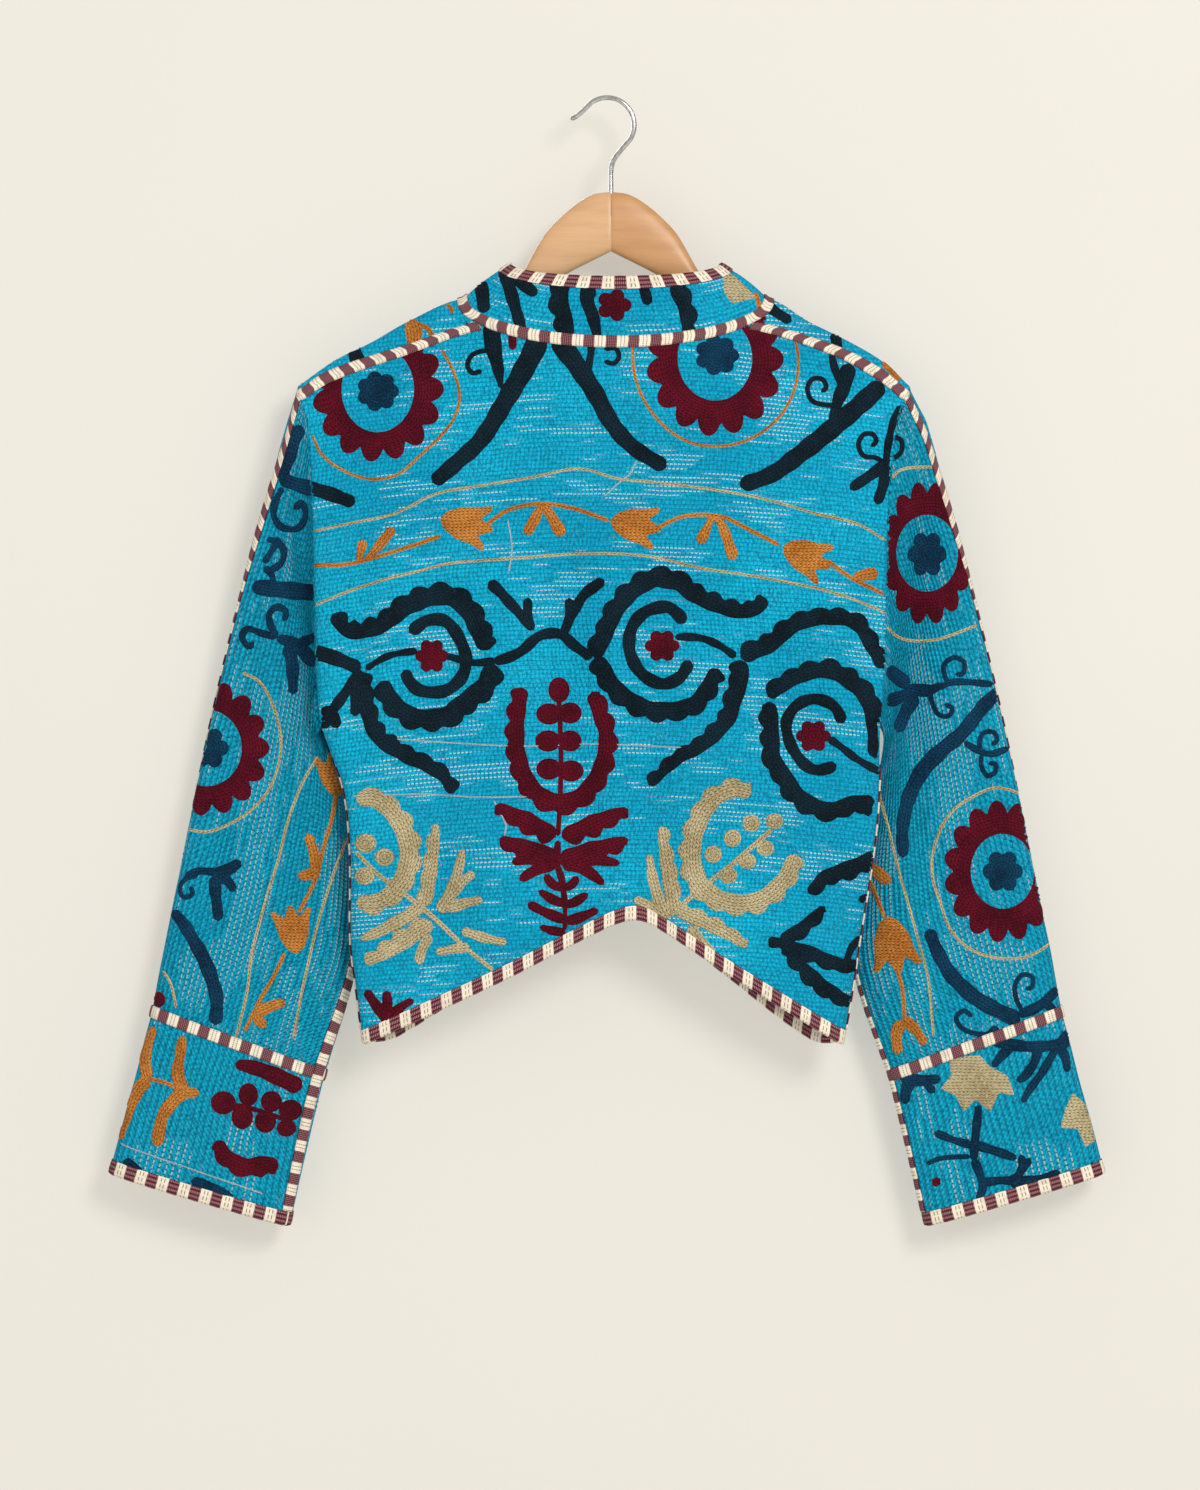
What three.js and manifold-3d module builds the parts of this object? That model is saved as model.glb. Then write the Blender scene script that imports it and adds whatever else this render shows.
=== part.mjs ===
// A cropped kantha jacket on a wooden hanger, seen with its back towards -Y.
// Millimetres, +Z up, and the origin is the inside of the hook's top.
// Left and right are the wearer's, so the left side lies at -X.
import * as THREE from "three";
import { mergeVertices } from "three/addons/utils/BufferGeometryUtils.js";
import Module from "manifold-3d";

const wasm = await Module();
wasm.setup();

// Cloth and binding
const WALL = 2.2; // quilted layers
const SEAM_PULL = 0.2; // each piece stops this far short of its seam line
const BINDING_HALF = 4.8; // half of a 9.6 mm striped strip
const BINDING_EDGE = 9.6; // how far a strip reaches in from an edge that it wraps
const BINDING_THICK = 1.2;
const BINDING_GAP = 0.42; // air between a strip and the cloth under it
const STRIP_GAP = 0.4; // air between two strips that meet
const NECK_CORNER_GAP = 3; // a shoulder strip starts this far outside the neck strip
const UNDERARM_CLEAR = 38; // strips start this far from the point under the arm

// Neck and collar
const NECK_X = 7; // middle of the neck, a little to the right as it hangs
const NECK_HALF = 122;
const NECK_CREST_Z = -161; // where the neck seam crosses the top of the shoulder
const NECK_BACK_DROP = 36;
const NECK_FRONT_DROP = 100;
const NECK_BACK_Y = -32;
const NECK_CORNER = 101; // from the neck's middle to where the shoulder seam meets it
const NECK_FLARE = 22; // how soon the depth of the neck fades along the shoulder
const COLLAR_TOP_HALF = 85;
const COLLAR_TOP_Z = -133;
const COLLAR_BACK_DIP = 13;
const COLLAR_FRONT_DIP = 86;
const COLLAR_BACK_Y = -29;
const COLLAR_FRONT_Y = 19;
const COLLAR_BOW = 3; // how far its middle stands out
const COLLAR_BOW_DEPTH = 2; // how much more it bows towards the back than to the sides
const UPRIGHT = { from: 0.8, over: 0.19 }; // towards its front edges the collar stops leaning in
const FRONT_GAP_HALF = 7; // half of the gap between the two fronts

// Armhole, a closed loop that the sleeve and the body share
const ARM_TOP_Z = -231;
const ARM_SEAM_Z = -239; // where the shoulder seam reaches it, on the back
const UNDERARM_Z = -501;
const ARM_MIDDLE_Y = 3;
const ARM_HALF_DEPTH = 13;
const ARM_ROUND = 3;

// Body
const HEM_SIDE_Z = -757;
const RIDGE_Y = 1; // top of the cloth over the hanger's arm
const ARCH_BACK_Y = -9;
const ARCH_FRONT_Y = 10.5;
const FALL = 150; // height over which the cloth fills out below the shoulder
const BACK_ROUND = 5;
const FRONT_ROUND = 3.5;
const FOLD_FADE = { top: 90, bottom: 60 }; // a fold fades in and out over these lengths

// Edges of the body, row by row down the garment
const BODY_EDGES = [
  { z: -231, left: -248, right: 243 },
  { z: -239, left: -247, right: 240 },
  { z: -260, left: -241, right: 234 },
  { z: -300, left: -237, right: 228 },
  { z: -350, left: -235, right: 224 },
  { z: -450, left: -232, right: 222 },
  { z: -501, left: -229, right: 219 },
  { z: -525, left: -221, right: 218 },
  { z: -550, left: -211, right: 217 },
  { z: -580, left: -206, right: 215 },
  { z: -620, left: -204, right: 210 },
  { z: -675, left: -204, right: 201 },
  { z: -710, left: -200, right: 196 },
  { z: -757, left: -194, right: 188 },
];

// Top line of the shoulders and the seam that lies behind it
const CREST = [
  { x: -248, z: -231 },
  { x: -219, z: -211 },
  { x: -188, z: -195 },
  { x: -159, z: -179 },
  { x: -115, z: -161 },
  { x: 129, z: -161 },
  { x: 161, z: -179 },
  { x: 194, z: -195 },
  { x: 221, z: -211 },
  { x: 243, z: -231 },
];
const SHOULDER_SEAM = [
  { x: -247, z: -239 },
  { x: -222, z: -223 },
  { x: -166, z: -203 },
  { x: -94, z: -181 },
  { x: 108, z: -181 },
  { x: 178, z: -200 },
  { x: 218, z: -221 },
  { x: 240, z: -239 },
];

// Hems, seen from the back: an uneven inverted V
const BACK_HEM = [
  { x: -194, z: -757 },
  { x: -82, z: -705 },
  { x: -22, z: -674 },
  { x: 8, z: -660 },
  { x: 24, z: -657 },
  { x: 38, z: -662 },
  { x: 96, z: -700 },
  { x: 155, z: -737 },
  { x: 188, z: -757 },
];
const FRONT_HEM = [
  { x: -194, z: -757 },
  { x: -170, z: -753 },
  { x: -80, z: -695 },
  { x: 0, z: -640 },
  { x: 14, z: -640 },
  { x: 90, z: -699 },
  { x: 165, z: -755 },
  { x: 188, z: -757 },
];

// How far the back and the fronts stand off, and where their side seam lies
const FULLNESS = [
  { z: -180, back: -20, front: 12 },
  { z: -240, back: -22, front: 14 },
  { z: -320, back: -27, front: 16 },
  { z: -450, back: -31, front: 18 },
  { z: -600, back: -35, front: 17 },
  { z: -757, back: -37, front: 15 },
];
const SIDE_SEAM = [
  { z: -501, y: 3 },
  { z: -525, y: -3 },
  { z: -550, y: -8 },
  { z: -600, y: -12 },
  { z: -757, y: -14 },
];

// Largest folds of the body: depth is how far the cloth moves out, below zero for a trough
const BODY_FOLDS = [
  { face: "back", x: -18, lean: 0.03, width: 24, top: -330, bottom: -640, depth: -4.5 },
  { face: "back", x: -62, lean: -0.12, width: 30, top: -300, bottom: -690, depth: 3 },
  { face: "back", x: 122, lean: 0.25, width: 22, top: -380, bottom: -560, depth: -3.5 },
  { face: "back", x: 168, lean: 0.1, width: 20, top: -330, bottom: -700, depth: 3 },
  { face: "back", x: -150, lean: 0.06, width: 26, top: -420, bottom: -740, depth: -3 },
  { face: "front", x: -110, lean: 0.08, width: 28, top: -300, bottom: -700, depth: 4 },
  { face: "front", x: -50, lean: 0.02, width: 22, top: -340, bottom: -660, depth: -3 },
  { face: "front", x: 130, lean: -0.06, width: 26, top: -320, bottom: -690, depth: 4 },
  { face: "front", x: 66, lean: 0.04, width: 24, top: -360, bottom: -670, depth: -3 },
];

// Sleeve sections, from the armhole to the cuff seam, and the cuff's end at 2: out is the outer
// point of a section and in is its inner point, and depth is half its thickness
const SLEEVE = [
  { along: 0, outX: 248, outZ: -231, outY: 3, inLeft: 229, inRight: 219, inZ: -501, inY: 3, depth: 13 },
  { along: 0.05, outX: 256, outZ: -258, outY: 4, inLeft: 233, inRight: 224, inZ: -512, inY: 8, depth: 13 },
  { along: 0.1, outX: 264, outZ: -285, outY: 5, inLeft: 229, inRight: 223, inZ: -528, inY: 13, depth: 14 },
  { along: 0.2, outX: 279, outZ: -339, outY: 8, inLeft: 213, inRight: 218, inZ: -557, inY: 18, depth: 15 },
  { along: 0.4, outX: 304, outZ: -439, outY: 12, inLeft: 204, inRight: 211, inZ: -613, inY: 19, depth: 17 },
  { along: 0.5, outX: 316, outZ: -489, outY: 13, inLeft: 203, inRight: 206, inZ: -642, inY: 19, depth: 18 },
  { along: 0.6, outX: 327, outZ: -538, outY: 13, inLeft: 203, inRight: 202, inZ: -671, inY: 18, depth: 19 },
  { along: 0.7, outX: 337, outZ: -587, outY: 13, inLeft: 205, inRight: 202, inZ: -700, inY: 16, depth: 20 },
  { along: 0.8, outX: 347, outZ: -637, outY: 12, inLeft: 211, inRight: 209, inZ: -728, inY: 14, depth: 20 },
  { along: 0.9, outX: 357, outZ: -686, outY: 12, inLeft: 220, inRight: 219, inZ: -757, inY: 13, depth: 20 },
  { along: 1, outX: 366, outZ: -734, outY: 11, inLeft: 229, inRight: 229, inZ: -785, inY: 12, depth: 20 },
  { along: 2, outX: 400, outZ: -863, outY: 10, inLeft: 257, inRight: 258, inZ: -905, inY: 11, depth: 21 },
];
const SLEEVE_ROUND = 2.7;
const SLEEVE_FOLD_EASE = { in: 0.2, end: 1.2, out: 0.3 }; // folds fade at the armhole and on the cuff

// Where the seams lie round a section, as a share of its length, from the outer point by the back
const SLEEVE_SEAMS = [
  { along: 0, over: 0.03, underLeft: 0.5, underRight: 0.5 },
  { along: 0.1, over: 0.024, underLeft: 0.5, underRight: 0.5 },
  { along: 0.3, over: 0.004, underLeft: 0.5, underRight: 0.5 },
  { along: 0.5, over: -0.012, underLeft: 0.492, underRight: 0.497 },
  { along: 1, over: -0.04, underLeft: 0.464, underRight: 0.488 },
  { along: 2, over: -0.05, underLeft: 0.468, underRight: 0.488 },
];

// Largest folds of a sleeve, each across one face: round is its place round the section
const SLEEVE_FOLDS = [
  { round: 0.16, along: 0.5, spanRound: 0.05, spanAlong: 0.3, depth: -4 },
  { round: 0.33, along: 0.35, spanRound: 0.05, spanAlong: 0.25, depth: 3.5 },
  { round: 0.42, along: 0.3, spanRound: 0.035, spanAlong: 0.2, depth: -4 },
  { round: 0.27, along: 0.75, spanRound: 0.05, spanAlong: 0.3, depth: -3 },
  { round: 0.66, along: 0.4, spanRound: 0.05, spanAlong: 0.3, depth: -4 },
  { round: 0.8, along: 0.6, spanRound: 0.06, spanAlong: 0.3, depth: 3.5 },
];

const LINE_STEPS = 240; // steps of the dense lines from which the rows are taken
const SIDE_CROWDING = 4; // these steps crowd together where the cloth turns at a side
const STRIP_LIFT_SHARE = 0.6; // the most of the shoulder's arch that half a strip may climb
const MITRE_LEAST = 0.7; // where two walls meet, their shared normal grows no more than by this

// Shares of the height for the rows of the panels
const BACK_UPPER = [0.08, 0.18, 0.3, 0.43, 0.56, 0.69, 0.81, 0.91, 0.97, 1];
const FRONT_UPPER = [0.12, 0.24, 0.36, 0.47, 0.58, 0.72, 0.86, 0.95, 1];
const LOWER = [0.1, 0.24, 0.4, 0.57, 0.75];
// Where the rows of a front end: out from the middle on the neck seam, then down the front edge
const FRONT_NECK_HALF = [110, 90, 58, FRONT_GAP_HALF + BINDING_EDGE, FRONT_GAP_HALF];
const FRONT_EDGE_Z = [-325, -385, -435, -475];
const FRONT_ARCH = [0.5, 0, -0.4, -1]; // shares of the arch over the shoulder, from back to front
const SLEEVE_ROWS = [0.05, 0.13, 0.22, 0.31, 0.41, 0.51, 0.61, 0.71, 0.81, 0.91, 0.988, 1];
const CUFF_ROWS = [1.037, 1.32, 1.64, 1.926, 2];
const EDGE_COLUMNS = [12, 22, 38]; // millimetres in from a side, where the cloth turns
const COLLAR_ROWS = [0.1, 0.45, 0.8, 1];
const CORNER_COLUMNS = 4; // columns between the edge columns and the neck corner
const NECK_COLUMNS = 8;

// Hanger
const WOOD_HALF = 5.5;
const WOOD_JOINT_X = 3.2;
const WOOD_JOINT_GAP = 0.15;
const WOOD_CLEAR = 3.5; // wood below the middle of the cloth that rests on it
const WOOD_SIDES = 12;
const WOOD_TOP_POWER = 2; // the upper half of a section is round
const WOOD_UNDER_POWER = 3.2; // and its lower half is squarer
const TIP = { height: 8, over: 16, drop: 5, half: 3.2 }; // an arm's end is lower and thinner
const HANGER_ARM = [
  { out: 0, top: -74, bottom: -122 },
  { out: 14, top: -76, bottom: -129 },
  { out: 28, top: -84, bottom: -136 },
  { out: 41, top: -95, bottom: -143 },
  { out: 53, top: -108, bottom: -149 },
  { out: 62, top: -123, bottom: -154 },
  { out: 70, top: -137, bottom: -159 },
  { out: 84, top: -152, bottom: -169 },
  { out: 102, top: -162, bottom: -182 },
];
const ARM_SHOULDER = [
  { share: 0.25, height: 24 },
  { share: 0.5, height: 27 },
  { share: 0.72, height: 27 },
  { share: 0.9, height: 24 },
  { share: 0.97, height: 17 },
  { share: 1, height: 8 },
];
const ARM_NECK_OUT = 115; // where the arm meets the cloth, from the joint
const ARM_REACH = 220;
const WIRE_RADIUS = 2;
const HOOK_BEND = 22; // radius of the hook's centre line
const STEM_DEPTH = 20; // length of the stem inside the wood
const BORE_RADIUS = 2.3;
const BORE_SIDES = 16;
const BORE_PAST = { below: 0.5, above: 5.5 }; // the bore runs past the stem's end and out of the wood
const HOOK_STEPS = 40;
const HOOK_SIDES = 5; // in each quarter of the wire

// The hook's line: its tip, then angles round the bend, then the neck down to the wood
const HOOK_TIP = [
  { x: -29.5, z: -15.5 },
  { x: -24.5, z: -13 },
];
const HOOK_ANGLES = [145, 120, 90, 60, 30, 0, -28];
const HOOK_NECK = [
  { x: 11.5, z: -40 },
  { x: 5, z: -49 },
  { x: WOOD_JOINT_X, z: -58 },
  { x: WOOD_JOINT_X, z: -68 },
];

const LEFT = { name: "left", sign: -1 };
const RIGHT = { name: "right", sign: 1 };
const DEGREE = Math.PI / 180;

const lerp = (a, b, share) => a + (b - a) * share;
const clamp = (value, low, high) => Math.min(high, Math.max(low, value));
const smooth = (value) => {
  const s = clamp(value, 0, 1);
  return s * s * (3 - 2 * s);
};
const power = (value, exponent) => Math.sign(value) * Math.abs(value) ** exponent;

// A column of a table at any value of its key, on a smooth curve through the rows
function read(table, key, value, column) {
  const last = table.length - 1;
  const rising = table[last][key] > table[0][key];
  const past = (row) => (rising ? value > row[key] : value < row[key]);
  let i = 0;
  while (i < last - 1 && past(table[i + 1])) i++;
  const slope = (k) => {
    const low = table[Math.max(k - 1, 0)];
    const high = table[Math.min(k + 1, last)];
    return (high[column] - low[column]) / (high[key] - low[key]);
  };
  const step = table[i + 1][key] - table[i][key];
  const s = clamp((value - table[i][key]) / step, 0, 1);
  const from = table[i][column];
  const to = table[i + 1][column];
  const bendFrom = slope(i) * step;
  const bendTo = slope(i + 1) * step;
  return (
    from * (1 + 2 * s) * (1 - s) ** 2 +
    bendFrom * s * (1 - s) ** 2 +
    to * s * s * (3 - 2 * s) -
    bendTo * s * s * (1 - s)
  );
}

// Points along a dense line at given distances from its start
function pointsAlong(line, distancesFor) {
  const travelled = [0];
  for (let k = 1; k < line.length; k++) {
    travelled.push(travelled[k - 1] + line[k].distanceTo(line[k - 1]));
  }
  const length = travelled[line.length - 1];
  return distancesFor(length).map((distance) => {
    let k = 1;
    while (k < line.length - 1 && travelled[k] < distance) k++;
    const share = (distance - travelled[k - 1]) / (travelled[k] - travelled[k - 1]);
    return line[k - 1].clone().lerp(line[k], clamp(share, 0, 1));
  });
}

// Neck seam, as heights over its width on the back and on the fronts
const neckSide = (x) => Math.sqrt(Math.max(0, 1 - ((x - NECK_X) / NECK_HALF) ** 2));
const neckBackZ = (x) => NECK_CREST_Z - NECK_BACK_DROP * neckSide(x);

function seamTopZ(x) {
  if (Math.abs(x - NECK_X) <= NECK_CORNER) return neckBackZ(x);
  return read(SHOULDER_SEAM, "x", x, "z");
}

// Depth of the cloth where it leaves the shoulder seam, deeper round the open neck
function seamY(x) {
  const fromNeck = Math.abs(x - NECK_X) - NECK_CORNER;
  if (fromNeck <= 0) return NECK_BACK_Y * neckSide(x);
  const cornerY = NECK_BACK_Y * neckSide(NECK_X - NECK_CORNER);
  return ARCH_BACK_Y + (cornerY - ARCH_BACK_Y) * Math.exp(-fromNeck / NECK_FLARE);
}

function archDrop(x) {
  const shoulder = Math.abs(x - NECK_X) > NECK_CORNER ? x : NECK_X + Math.sign(x - NECK_X) * NECK_CORNER;
  const crest = read(CREST, "x", shoulder, "z");
  return { crest, drop: crest - read(SHOULDER_SEAM, "x", shoulder, "z") };
}

// Depth of a face away from the sides: over the shoulder, then filling out below it
function faceY(face, x, z) {
  const { crest, drop } = archDrop(x);
  const start = face === "back" ? seamY(x) : ARCH_FRONT_Y;
  const base = face === "back" ? seamTopZ(x) : crest - drop;
  if (z > base) {
    const down = clamp((crest - z) / drop, 0, 1);
    return RIDGE_Y + (start - RIDGE_Y) * Math.sqrt(1 - (1 - down) ** 2);
  }
  return lerp(start, read(FULLNESS, "z", z, face), smooth((base - z) / FALL));
}

// Depth of the body's own side: the armhole loop, then the side seam under the arm
function edgeY(face, z) {
  if (z <= UNDERARM_Z) return read(SIDE_SEAM, "z", z, "y");
  const middle = (ARM_TOP_Z + UNDERARM_Z) / 2;
  const share = clamp(Math.abs((z - middle) / (ARM_TOP_Z - middle)), 0, 1);
  const out = (1 - share ** ARM_ROUND) ** (1 / ARM_ROUND);
  return ARM_MIDDLE_Y + (face === "back" ? -1 : 1) * ARM_HALF_DEPTH * out;
}

function foldY(face, x, z) {
  let out = 0;
  for (const fold of BODY_FOLDS) {
    if (fold.face !== face) continue;
    const middle = fold.x + fold.lean * (fold.top - z);
    const inside = smooth((fold.top - z) / FOLD_FADE.top) * smooth((z - fold.bottom) / FOLD_FADE.bottom);
    out += fold.depth * inside * Math.exp(-(((x - middle) / fold.width) ** 2));
  }
  return face === "back" ? -out : out;
}

function bodyPoint(face, x, z) {
  const left = read(BODY_EDGES, "z", z, "left");
  const right = read(BODY_EDGES, "z", z, "right");
  const across = clamp((2 * x - left - right) / (right - left), -1, 1);
  const round = face === "back" ? BACK_ROUND : FRONT_ROUND;
  const swell = (1 - Math.abs(across) ** round) ** (1 / round);
  const side = edgeY(face, z);
  const y = side + (faceY(face, x, z) - side) * swell;
  return new THREE.Vector3(x, y + foldY(face, x, z) * swell, z);
}

// A row of a panel as a dense line, with short steps where the cloth turns at a side
function bodyLine(face, fromX, toX, heightAt, bothSides) {
  const line = [];
  for (let k = 0; k <= LINE_STEPS; k++) {
    const s = k / LINE_STEPS;
    const half = Math.min(s, 1 - s) * 2;
    const near = 0.5 * half ** SIDE_CROWDING;
    const share = bothSides ? (s < 0.5 ? near : 1 - near) : s ** SIDE_CROWDING;
    const x = lerp(fromX, toX, share);
    line.push(bodyPoint(face, x, heightAt(x, share)));
  }
  return line;
}

// Distances of the columns of a shoulder part, from a side to the neck corner
function shoulderColumns(corner) {
  const last = EDGE_COLUMNS[EDGE_COLUMNS.length - 1];
  const inner = [];
  for (let k = 1; k < CORNER_COLUMNS; k++) {
    inner.push(lerp(last, corner - BINDING_HALF, k / CORNER_COLUMNS));
  }
  return [0, BINDING_HALF, ...EDGE_COLUMNS, ...inner, corner - BINDING_HALF, corner];
}

// The back: rows from the neck and shoulder seams to the hem
function backRow(heightAt, leftZ, rightZ, corners) {
  const fromX = read(BODY_EDGES, "z", leftZ, "left");
  const toX = read(BODY_EDGES, "z", rightZ, "right");
  const line = bodyLine("back", fromX, toX, heightAt, true);
  return pointsAlong(line, (length) => {
    const left = shoulderColumns(length * corners.left);
    const right = shoulderColumns(length * (1 - corners.right)).map((d) => length - d).reverse();
    const neck = [];
    for (let k = 1; k < NECK_COLUMNS; k++) {
      neck.push(length * lerp(corners.left, corners.right, k / NECK_COLUMNS));
    }
    return [...left, ...neck, ...right];
  });
}

// Shares of the top row's length at which its two neck corners lie
function neckCorners() {
  const line = bodyLine("back", BODY_EDGES[1].left, BODY_EDGES[1].right, seamTopZ, true);
  let length = 0;
  const shares = {};
  for (let k = 1; k < line.length; k++) {
    length += line[k].distanceTo(line[k - 1]);
    if (line[k].x <= NECK_X - NECK_CORNER) shares.left = length;
    if (line[k].x <= NECK_X + NECK_CORNER) shares.right = length;
  }
  return { left: shares.left / length, right: shares.right / length };
}

function makeBack() {
  const corners = neckCorners();
  const rows = [];
  const addUpper = (share, drop) => {
    const heightAt = (x) => lerp(seamTopZ(x), UNDERARM_Z, share) - drop;
    const edgeZ = lerp(ARM_SEAM_Z, UNDERARM_Z, share) - drop;
    rows.push(backRow(heightAt, edgeZ, edgeZ, corners));
  };
  addUpper(0, 0);
  addUpper(0, BINDING_HALF);
  for (const share of BACK_UPPER) addUpper(share, 0);
  const hem = (x) => read(BACK_HEM, "x", x, "z");
  const addLower = (share, rise) => {
    const heightAt = (x) => lerp(UNDERARM_Z, hem(x), share) + rise;
    const edgeZ = lerp(UNDERARM_Z, HEM_SIDE_Z, share) + rise;
    rows.push(backRow(heightAt, edgeZ, edgeZ, corners));
  };
  for (const share of LOWER) addLower(share, 0);
  addLower(1, BINDING_EDGE);
  addLower(1, 0);
  return rows;
}

// Neck seam of a front at a height below the shoulder
function frontNeckX(side, z, drop) {
  const sine = clamp((NECK_CREST_Z - z) / drop, 0, 1);
  return NECK_X + side.sign * Math.max(NECK_HALF * Math.sqrt(1 - sine * sine), FRONT_GAP_HALF);
}

// A row of a front, from the side or the armhole to the neck seam or the front edge
function frontRow(side, face, edgeZ, innerX, heightAt, innerColumn) {
  const edgeX = read(BODY_EDGES, "z", edgeZ, side.name);
  const line = bodyLine(face, edgeX, innerX, heightAt, false);
  return pointsAlong(line, (length) => {
    const columns = shoulderColumns(length);
    columns[columns.length - 2] = length - innerColumn;
    return columns;
  });
}

function makeFront(side) {
  const rows = [];
  const cornerZ = seamTopZ(NECK_X + side.sign * NECK_CORNER);
  const cornerDrop = archDrop(NECK_X + side.sign * NECK_CORNER).drop;
  // Over the shoulder, height is a share of the arch: 0 on the seam and 1 on the crest
  const addArch = (face, liftAt) => {
    const innerZ = cornerZ + liftAt(cornerDrop);
    const drop = face === "back" ? NECK_BACK_DROP : NECK_FRONT_DROP;
    const edgeZ = ARM_SEAM_Z + liftAt(ARM_TOP_Z - ARM_SEAM_Z);
    const heightAt = (x) => {
      const arch = archDrop(x);
      return arch.crest - arch.drop + liftAt(arch.drop);
    };
    const innerX = frontNeckX(side, innerZ, drop);
    rows.push(frontRow(side, face, edgeZ, innerX, heightAt, BINDING_HALF));
  };
  const stripLift = (drop) => Math.min(BINDING_HALF, STRIP_LIFT_SHARE * drop);
  addArch("back", () => 0);
  addArch("back", stripLift);
  for (const share of FRONT_ARCH) {
    const first = (drop) => Math.asin(stripLift(drop) / drop);
    const angle = (drop) => (share > 0 ? lerp(90 * DEGREE, first(drop), share) : (1 + share) * 90 * DEGREE);
    addArch(share > 0 ? "back" : "front", (drop) => drop * Math.sin(angle(drop)));
  }
  const straight = (edgeZ, innerZ, innerX, innerColumn) => {
    const edgeX = read(BODY_EDGES, "z", edgeZ, side.name);
    const heightAt = (x) => lerp(edgeZ, innerZ, clamp((x - edgeX) / (innerX - edgeX), 0, 1));
    rows.push(frontRow(side, "front", edgeZ, innerX, heightAt, innerColumn));
  };
  const frontEdgeX = NECK_X + side.sign * FRONT_GAP_HALF;
  FRONT_UPPER.forEach((share, k) => {
    const edgeZ = lerp(ARM_SEAM_Z, UNDERARM_Z, share);
    if (k < FRONT_NECK_HALF.length) {
      const innerX = NECK_X + side.sign * FRONT_NECK_HALF[k];
      const innerZ = NECK_CREST_Z - NECK_FRONT_DROP * neckSide(innerX);
      straight(edgeZ, innerZ, innerX, k === FRONT_NECK_HALF.length - 1 ? BINDING_EDGE : BINDING_HALF);
    } else {
      straight(edgeZ, FRONT_EDGE_Z[k - FRONT_NECK_HALF.length], frontEdgeX, BINDING_EDGE);
    }
  });
  const lastEdge = FRONT_EDGE_Z[FRONT_EDGE_Z.length - 1];
  const hem = (x) => read(FRONT_HEM, "x", x, "z");
  const addLower = (share, rise) => {
    const edgeZ = lerp(UNDERARM_Z, HEM_SIDE_Z, share) + rise;
    const edgeX = read(BODY_EDGES, "z", edgeZ, side.name);
    const heightAt = (x) => {
      const inward = clamp((x - edgeX) / (frontEdgeX - edgeX), 0, 1);
      return lerp(lerp(UNDERARM_Z, lastEdge, inward), hem(x), share) + rise;
    };
    rows.push(frontRow(side, "front", edgeZ, frontEdgeX, heightAt, BINDING_EDGE));
  };
  for (const share of LOWER) addLower(share, 0);
  addLower(1, BINDING_EDGE);
  addLower(1, 0);
  return rows;
}

// A section of a sleeve or cuff as a dense closed line, from the outer point by the back
function sleeveSection(side, along) {
  const get = (column) => read(SLEEVE, "along", along, column);
  const outer = new THREE.Vector2(side.sign * get("outX"), get("outZ"));
  const innerColumn = side === LEFT ? "inLeft" : "inRight";
  const inner = new THREE.Vector2(side.sign * get(innerColumn), get("inZ"));
  const middleY = { inner: get("inY"), outer: get("outY") };
  const depth = get("depth");
  const line = [];
  for (let k = 0; k <= LINE_STEPS; k++) {
    const round = k / LINE_STEPS;
    const angle = round * 2 * Math.PI;
    const lengthwise = power(Math.cos(angle), 2 / SLEEVE_ROUND);
    const crosswise = power(Math.sin(angle), 2 / SLEEVE_ROUND);
    const outward = 0.5 + 0.5 * lengthwise;
    const place = inner.clone().lerp(outer, outward);
    let out = 0;
    for (const fold of SLEEVE_FOLDS) {
      const offRound = (round - fold.round) / fold.spanRound;
      const offAlong = (along - fold.along) / fold.spanAlong;
      out += fold.depth * Math.exp(-(offRound ** 2) - offAlong ** 2);
    }
    const { in: easeIn, end, out: easeOut } = SLEEVE_FOLD_EASE;
    const ease = smooth(along / easeIn) * smooth((end - along) / easeOut);
    const y = lerp(middleY.inner, middleY.outer, outward) - crosswise * (depth + out * ease);
    line.push(new THREE.Vector3(place.x, y, place.y));
  }
  return line;
}

// Part of a section between two places round it, with a column beside each end for the strips
function sectionPart(side, along, from, to, count) {
  const loop = sleeveSection(side, along);
  const turns = [...loop.slice(0, -1), ...loop.slice(0, -1), ...loop];
  return pointsAlong(turns, (length) => {
    const round = length / 3;
    const start = round * (1 + from);
    const end = round * (1 + to);
    const way = Math.sign(end - start);
    const first = start + way * BINDING_HALF;
    const last = end - way * BINDING_HALF;
    const places = [start];
    for (let k = 0; k <= count - 2; k++) places.push(lerp(first, last, k / (count - 2)));
    places.push(end);
    return places;
  });
}

function sleeveSeams(side, along) {
  return {
    over: read(SLEEVE_SEAMS, "along", along, "over"),
    under: read(SLEEVE_SEAMS, "along", along, side === LEFT ? "underLeft" : "underRight"),
  };
}

function makeSleeveHalf(side, face, armhole) {
  const rows = [armhole.map((point) => point.clone())];
  for (const along of SLEEVE_ROWS) {
    const { over, under } = sleeveSeams(side, along);
    const to = face === "back" ? under : under - 1;
    rows.push(sectionPart(side, along, over, to, armhole.length - 1));
  }
  return rows;
}

// A cuff goes right round, from the underarm seam by the back to the same seam
function makeCuff(side, sleeveBack, sleeveFront) {
  const last = sleeveBack.length - 1;
  const join = [...sleeveBack[last].slice().reverse(), ...sleeveFront[last].slice(1)];
  const rows = [join.map((point) => point.clone())];
  for (const along of CUFF_ROWS) {
    const { over, under } = sleeveSeams(side, along);
    const byBack = sectionPart(side, along, over, under, sleeveBack[last].length - 1);
    const byFront = sectionPart(side, along, over, under - 1, sleeveFront[last].length - 1);
    rows.push([...byBack.reverse(), ...byFront.slice(1)]);
  }
  return rows;
}

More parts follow.
